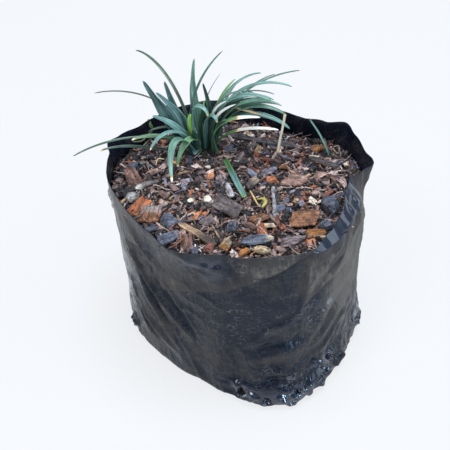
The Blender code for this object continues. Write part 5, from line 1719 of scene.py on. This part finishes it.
def make_lumps(woods):
    """The rounded pieces: charcoal and a grain of perlite."""
    for order, (name, place, half_sizes, lift, colour) in enumerate(LUMPS):
        is_round = colour == "perlite"
        planes, roundness = (0, 1.0) if is_round else (18, 0.0)
        points, faces = stone(random.Random(LUMP_SEED + order), LUMP_FINENESS, planes, roundness)
        sizes = [2.05 * half for half in half_sizes]
        placed, grain = lay_down(points, place, sizes, 0, 0, 0, lift - float(mix_relief(*place)))
        piece = make_piece("rounded_" + name, placed, faces, {"grain": grain}, smooth=is_round)
        place_piece(piece, woods[colour], colour, name)


def make_small_pieces(woods):
    """The lesser pieces that the photograph shows one by one, joined by colour."""
    gathered = {}
    for order, (kind, place, *sizes, yaw, tilt, colour) in enumerate(SMALL_PIECES):
        rng = random.Random(SMALL_SEED + order)
        if kind == "lump":
            points, faces = stone(rng, SMALL_FINENESS, 14, 0.2)
        else:
            points, faces = wood_chip(rng, *SMALL_GRID, 0.2, torn=0.06, narrowed=rng.uniform(0, 0.5),
                                      rounded=rng.uniform(0, 0.35), skew=rng.uniform(-0.3, 0.3),
                                      curl=rng.uniform(-0.1, 0.3))
        placed, grain = lay_down(points, place, sizes, yaw, tilt, rng.uniform(-12, 12),
                                 0.5 + sizes[2] * 0.25)
        gathered.setdefault(colour, []).append((placed, faces, grain + order * 11.0))
    for colour, parts in gathered.items():
        piece = make_piece("small_bark_" + colour, *joined([part[:2] for part in parts]),
                           {"grain": np.concatenate([part[2] for part in parts])}, smooth=False)
        place_piece(piece, woods[colour], SLOT_OF.get(colour, colour))


def neighbours(points, index):
    """The points before and after one point of a path."""
    return points[max(index - 1, 0)], points[min(index + 1, len(points) - 1)]


def tube_along(points, radii):
    """A closed round tube along points: its surface and faces."""
    surface = []
    for index, (point, radius) in enumerate(zip(points, radii)):
        before, after = neighbours(points, index)
        turn = (after - before).to_track_quat("Z", "Y").to_matrix()
        for corner in range(TWIG_SIDES):
            angle = 2 * math.pi * corner / TWIG_SIDES
            surface.append(tuple(point + turn @ Vector((math.cos(angle), math.sin(angle), 0)) * radius))
    return np.array(surface), closed_tube(len(points), TWIG_SIDES)


def smooth_path(corners, count):
    """Points of a smooth curve through a few corners."""
    corners = [Vector(corner) for corner in corners]
    ends = [corners[0] * 2 - corners[1]] + corners + [corners[-1] * 2 - corners[-2]]
    path = []
    for step in range(count):
        place = step / (count - 1) * (len(corners) - 1)
        span = min(int(place), len(corners) - 2)
        t = place - span
        a, b, c, d = ends[span:span + 4]
        path.append(0.5 * ((2 * b) + (c - a) * t + (2 * a - 5 * b + 4 * c - d) * t * t
                           + (3 * b - a - 3 * c + d) * t ** 3))
    return path


def make_twig(woods):
    """The pale forked twig, with its knuckles."""
    start, end, fork, side_end = TWIG
    height = float(mix_level(*fork)) + TWIG_LIFT
    main = smooth_path([(*start, height), (*fork, height + 0.2),
                        (fork[0] + 0.3, (fork[1] + end[1]) / 2, height - 0.1), (*end, height - 0.6)],
                       TWIG_STATIONS)
    radii = [TWIG_WIDTH / 2 * (0.92 + 0.20 * share + 0.10 * math.sin(31 * share)
                               + 0.25 * math.exp(-((share - 0.22) / 0.05) ** 2))
             for share in np.linspace(0, 1, TWIG_STATIONS)]
    radii[0] *= 0.5
    radii[-1] *= 0.6
    branch = smooth_path([(*fork, height), (fork[0] + 2, fork[1] + 1.6, height + 0.5),
                          (*side_end, height + 0.8)], BRANCH_STATIONS)
    branch_radii = [TWIG_WIDTH / 2 * (0.8 - 0.35 * share + 0.08 * math.sin(23 * share))
                    for share in np.linspace(0, 1, BRANCH_STATIONS)]
    points, faces = joined([tube_along(main, radii), tube_along(branch, branch_radii)])
    piece = outward(make_piece("pale_forked_twig", points, faces, {"grain": points[:, [1, 0, 2]]}))
    place_piece(piece, woods["twig"], "twig", "twig_forked")


def leaf_line(fan, bearing, swing, root_lean, tip_lean, droop, length, start):
    """Points, directions and headings down a leaf's middle, from its root to its tip."""
    angle = math.radians(bearing)
    root = FAN_ROOTS[fan]
    point = Vector((root[0] + start * math.cos(angle), root[1] + start * math.sin(angle), root[2]))
    steps = (LEAF_STATIONS - 1) * LINE_FINENESS
    points, directions = [], []
    for step in range(steps + 1):
        share = step / steps
        lean = math.radians(root_lean + (tip_lean - root_lean) * share ** droop)
        heading = math.radians(bearing + swing * share)
        direction = Vector((math.sin(lean) * math.cos(heading), math.sin(lean) * math.sin(heading),
                            math.cos(lean)))
        if step % LINE_FINENESS == 0:
            points.append(point.copy())
            directions.append((direction, heading))
        point = point + direction * (length / steps)
    return points, directions


def blade_width(share):
    """Width of a leaf along its length, as a share of its widest, rounded off at the tip."""
    root = ROOT_WIDTH + (1 - ROOT_WIDTH) * min(1.0, share / WIDEST_FROM)
    past = max(0.0, share - TAPER_FROM) / (1 - TAPER_FROM)
    width = root * (1.0 - (1 - TIP_WIDTH) * past ** TAPER_POWER)
    if share > 0.95:
        width *= math.sqrt(max(0.02, 1 - ((share - 0.95) / 0.05) ** 2))
    return width


def leaf_surface(points, sides, widths):
    """A channelled blade along points: its surface, its faces, and where each point is on it."""
    surface, blade, rising = [], [], []
    travelled = 0.0
    for index, (point, aside, width) in enumerate(zip(points, sides, widths)):
        before, after = neighbours(points, index)
        along = (after - before).normalized()
        side = (aside - along * aside.dot(along)).normalized()
        normal = along.cross(side).normalized()
        half = width / 2
        if index:
            travelled += (point - before).length
        for places, rib, rib_width, share, edged in LEAF_SKINS:
            for place in places:
                rise = LEAF_CHANNEL * half * 2 * place * place
                rise = rise - rib * half * math.exp(-(place / rib_width) ** 2) + LEAF_THICKNESS * share
                surface.append(tuple(point + side * (half * place) + normal * rise))
                blade.append((place * half, travelled, abs(place) * edged))
                rising.append(index / (len(points) - 1))
    ring = len(surface) // len(points)
    return np.array(surface), closed_tube(len(points), ring), np.array(blade), np.array(rising)


def ribbon(path, side, width, profile):
    """A blade along a path, with its width set at some shares of its length."""
    widths = width * np.interp(np.linspace(0, 1, len(path)), *profile)
    return leaf_surface(path, [side] * len(path), widths)


def join_blades(name, blades, material, *nodes):
    """One piece from many blades: surface, faces, places, rise, fading, and the leaf's looks."""
    layers = {"blade": [], **{label: [] for label in BLADE_VALUES}}
    start = 0
    for surface, _, blade, rise, fade, looks in blades:
        layers["blade"].append(blade + np.array([start * 0.37, start * 0.11, 0.0]))
        for label, amount in zip(BLADE_VALUES, (rise, fade, *looks)):
            layers[label].append(np.zeros(len(surface)) + amount)
        start += len(surface)
    piece = make_piece(name, *joined([blade[:2] for blade in blades]),
                       {label: np.concatenate(values) for label, values in layers.items()})
    place_piece(outward(piece), material, "leaf", *nodes)


def leaf_blade(course, seed, share_of_width):
    """One leaf along its course, down into the mix at its root: its surface and the line's points."""
    *line, width, roll, start = course
    points, directions = leaf_line(*line, start)
    rng = random.Random(seed)
    sway, phase = rng.uniform(-1, 1), rng.uniform(0, 6)
    sides, widths = [], []
    for index, (direction, heading) in enumerate(directions):
        share = index / (LEAF_STATIONS - 1)
        level = Vector((-math.sin(heading), math.cos(heading), 0))
        turn = roll + 7 * sway * math.sin(3 * share + phase)
        sides.append(Matrix.Rotation(math.radians(turn), 3, direction) @ level)
        broad = share_of_width
        if broad > 1:
            broad = 1 + (broad - 1) * max(0, math.sin(math.pi * min(1, 1.15 * share + 0.1)))
        widths.append(width * broad * blade_width(share))
    foot = points[0] - directions[0][0] * LEAF_ROOT_DEPTH
    points = [foot, points[0].lerp(foot, 0.5)] + points
    sides = [sides[0]] * 2 + sides
    widths = [widths[0] * 1.25, widths[0] * 1.12] + widths
    return leaf_surface(points, sides, widths), points


def dead_tail(points):
    """The dead end of one leaf, which hangs from its tip."""
    tip = points[-1].lerp(points[-2], 0.3)
    drop = Vector(TAIL_DROP)
    path = smooth_path([tip, tip + drop * 0.33 + Vector((0.1, 0.1, 0)),
                        tip + drop * 0.66 + Vector((-0.1, -0.1, 0)), tip + drop], TAIL_STATIONS)
    shares = np.linspace(0, 1, TAIL_STATIONS)
    widths = np.interp(shares, [0, 0.5, 1], TAIL_WIDTHS) * TAIL_NARROWED
    widths *= 1 - 0.5 * np.clip((shares - 0.9) / 0.1, 0, 1)
    return leaf_surface(path, [Vector((1, 0, 0))] * TAIL_STATIONS, widths)


def make_leaves(material):
    """The leaves of the plant, with the dead tail and the young and old bases of the crown."""
    blades = []
    for order, (course, (share_of_width, *looks)) in enumerate(zip(LEAVES, LOOKS)):
        blade, points = leaf_blade(course, LEAF_SEED + order, share_of_width)
        begin, through = FADED.get(order, NOT_FADED)
        blades.append((*blade, smooth_step(begin, through, blade[3]), looks))
        if order == TAIL_LEAF:
            blades.append((*dead_tail(points), TAIL_FADING, NO_TINTS))
    for order, (course, *looks) in enumerate(MORE_LEAVES):
        blade, _ = leaf_blade(course, MORE_LEAF_SEED + order, 1.0)
        blades.append((*blade, 0.0, looks))
    join_blades("mondo_leaves", blades, material, "mondo_clump")


def make_loose_leaves(material):
    """The cut leaf that lies on the mix, and the one that leans on the film at the back."""
    start, end, width = FRONT_LEAF
    corners = []
    for share in (0, 0.35, 0.7, 1):
        place = between(start, end, share)
        corners.append((*place, float(mix_level(*place)) + FRONT_LEAF_LIFT + SOLID_HALF_THICKNESS))
    path = smooth_path(corners, LOOSE_STATIONS)
    along = (path[-1] - path[0]).normalized()
    side = Vector((0, 0, 1)).cross(along).normalized()
    piece = ribbon(path, side, width, FRONT_LEAF_PROFILE)
    # The middle of the cut leaf is made paler and given the bloom tint, partly as painted sheen on the flat
    # blade.
    middle = smooth_step(0.12, 0.45, piece[3]) * (1 - smooth_step(0.86, 0.95, piece[3]))
    looks = (0.25 * middle - 0.2, 0.5 - 0.5 * middle, 0.8 * middle, 0.0)
    join_blades("leaf_piece_on_mix", [(*piece, 0.0, looks)], material, "leaf_piece_front")
    path = smooth_path(BACK_LEAF_POINTS, LOOSE_STATIONS)
    side = Vector((0.55, 0.8, 0)).normalized()
    piece = ribbon(path, side, BACK_LEAF_WIDTH, BACK_LEAF_PROFILE)
    join_blades("leaf_leaning_on_film", [(*piece, 0.0, NO_TINTS)], material, "leaf_back_right")


def make_strips(material):
    """The curled sprout, the bud at the back and the dry curls of old leaf."""
    blades = []
    for corners, width, gone, looks in STRIPS:
        path = smooth_path(corners, STRIP_STATIONS)
        along = (path[-1] - path[0]).normalized()
        side = along.cross(Vector((0, -0.5, 0.85))).normalized()
        blades.append((*ribbon(path, side, width, STRIP_PROFILE), gone, looks))
    join_blades("small_strips", blades, material)


def make_floor():
    """The pale floor under the bag, which glows a little so that it stays even."""
    shape = bmesh.new()
    bmesh.ops.create_grid(shape, x_segments=4, y_segments=4, size=FLOOR_REACH_METRES)
    mesh = bpy.data.meshes.new("pale_floor")
    shape.to_mesh(mesh)
    shape.free()
    material, tree, shader = new_material("pale_floor")
    for label, value in (("Base Color", opaque(FLOOR_COLOUR)), ("Emission Color", opaque(FLOOR_GLOW)),
                         ("Emission Strength", FLOOR_GLOW_STRENGTH), ("Roughness", 0.9),
                         ("Specular IOR Level", 0.1)):
        feed(tree, shader.inputs[label], value)
    material.cycles.emission_sampling = "NONE"
    mesh.materials.append(material)
    floor = put_in_scene("pale_floor", mesh)


def make_camera():
    """The camera at the photograph's angle."""
    data = bpy.data.cameras.new("camera")
    data.lens = LENS
    data.sensor_width = SENSOR
    data.shift_x, data.shift_y = [pixels / IMAGE_SIDE for pixels in SHIFT_PIXELS]
    data.clip_start = 0.01
    camera = put_in_scene("camera", data)
    tilt = math.radians(CAMERA_ELEVATION)
    camera.location = (LOOK_AT_METRES[0], LOOK_AT_METRES[1] - CAMERA_DISTANCE_METRES * math.cos(tilt),
                       LOOK_AT_METRES[2] + CAMERA_DISTANCE_METRES * math.sin(tilt))
    camera.rotation_euler = (math.radians(90 - CAMERA_ELEVATION), 0, 0)
    bpy.context.scene.camera = camera


def softbox(name, place, size, watts, colour):
    """A square soft light that faces the plant."""
    data = bpy.data.lights.new(name, "AREA")
    data.shape = "SQUARE"
    data.size = size
    data.energy = watts
    data.color = colour
    light = put_in_scene(name, data)
    light.location = place
    light.rotation_euler = (Vector(place) - Vector(LOOK_AT_METRES)).to_track_quat("Z", "Y").to_euler()


def make_lights():
    """An overcast sky, bluer overhead, and the soft lights round the plant."""
    world = bpy.data.worlds.new("overcast")
    bpy.context.scene.world = world
    world.use_nodes = True
    tree = world.node_tree
    direction = tree.nodes.new("ShaderNodeTexCoord").outputs["Generated"]
    up = add_node(tree, "ShaderNodeSeparateXYZ", {"Vector": direction}).outputs["Z"]
    background = tree.nodes["Background"]
    feed(tree, background.inputs["Color"], ramp(tree, up, SKY_COLOURS))
    feed(tree, background.inputs["Strength"], SKY_STRENGTH)
    for light in SOFT_LIGHTS:
        softbox(*light)
    bpy.context.scene.view_settings.view_transform = "Standard"


def build():
    """Every piece, the floor, the camera and the lights."""
    groups = {"grain": grain_group(), "dust": soil_dust_group()}
    woods = {name: wood_material(name, groups) for name in WOODS}
    make_bag()
    strew_bark(make_ground(), groups)
    for make in (make_slabs, make_sticks, make_lumps, make_small_pieces, make_twig):
        make(woods)
    leaf = leaf_material()
    for make in (make_leaves, make_loose_leaves, make_strips):
        make(leaf)
    make_floor()
    make_camera()
    make_lights()


build()
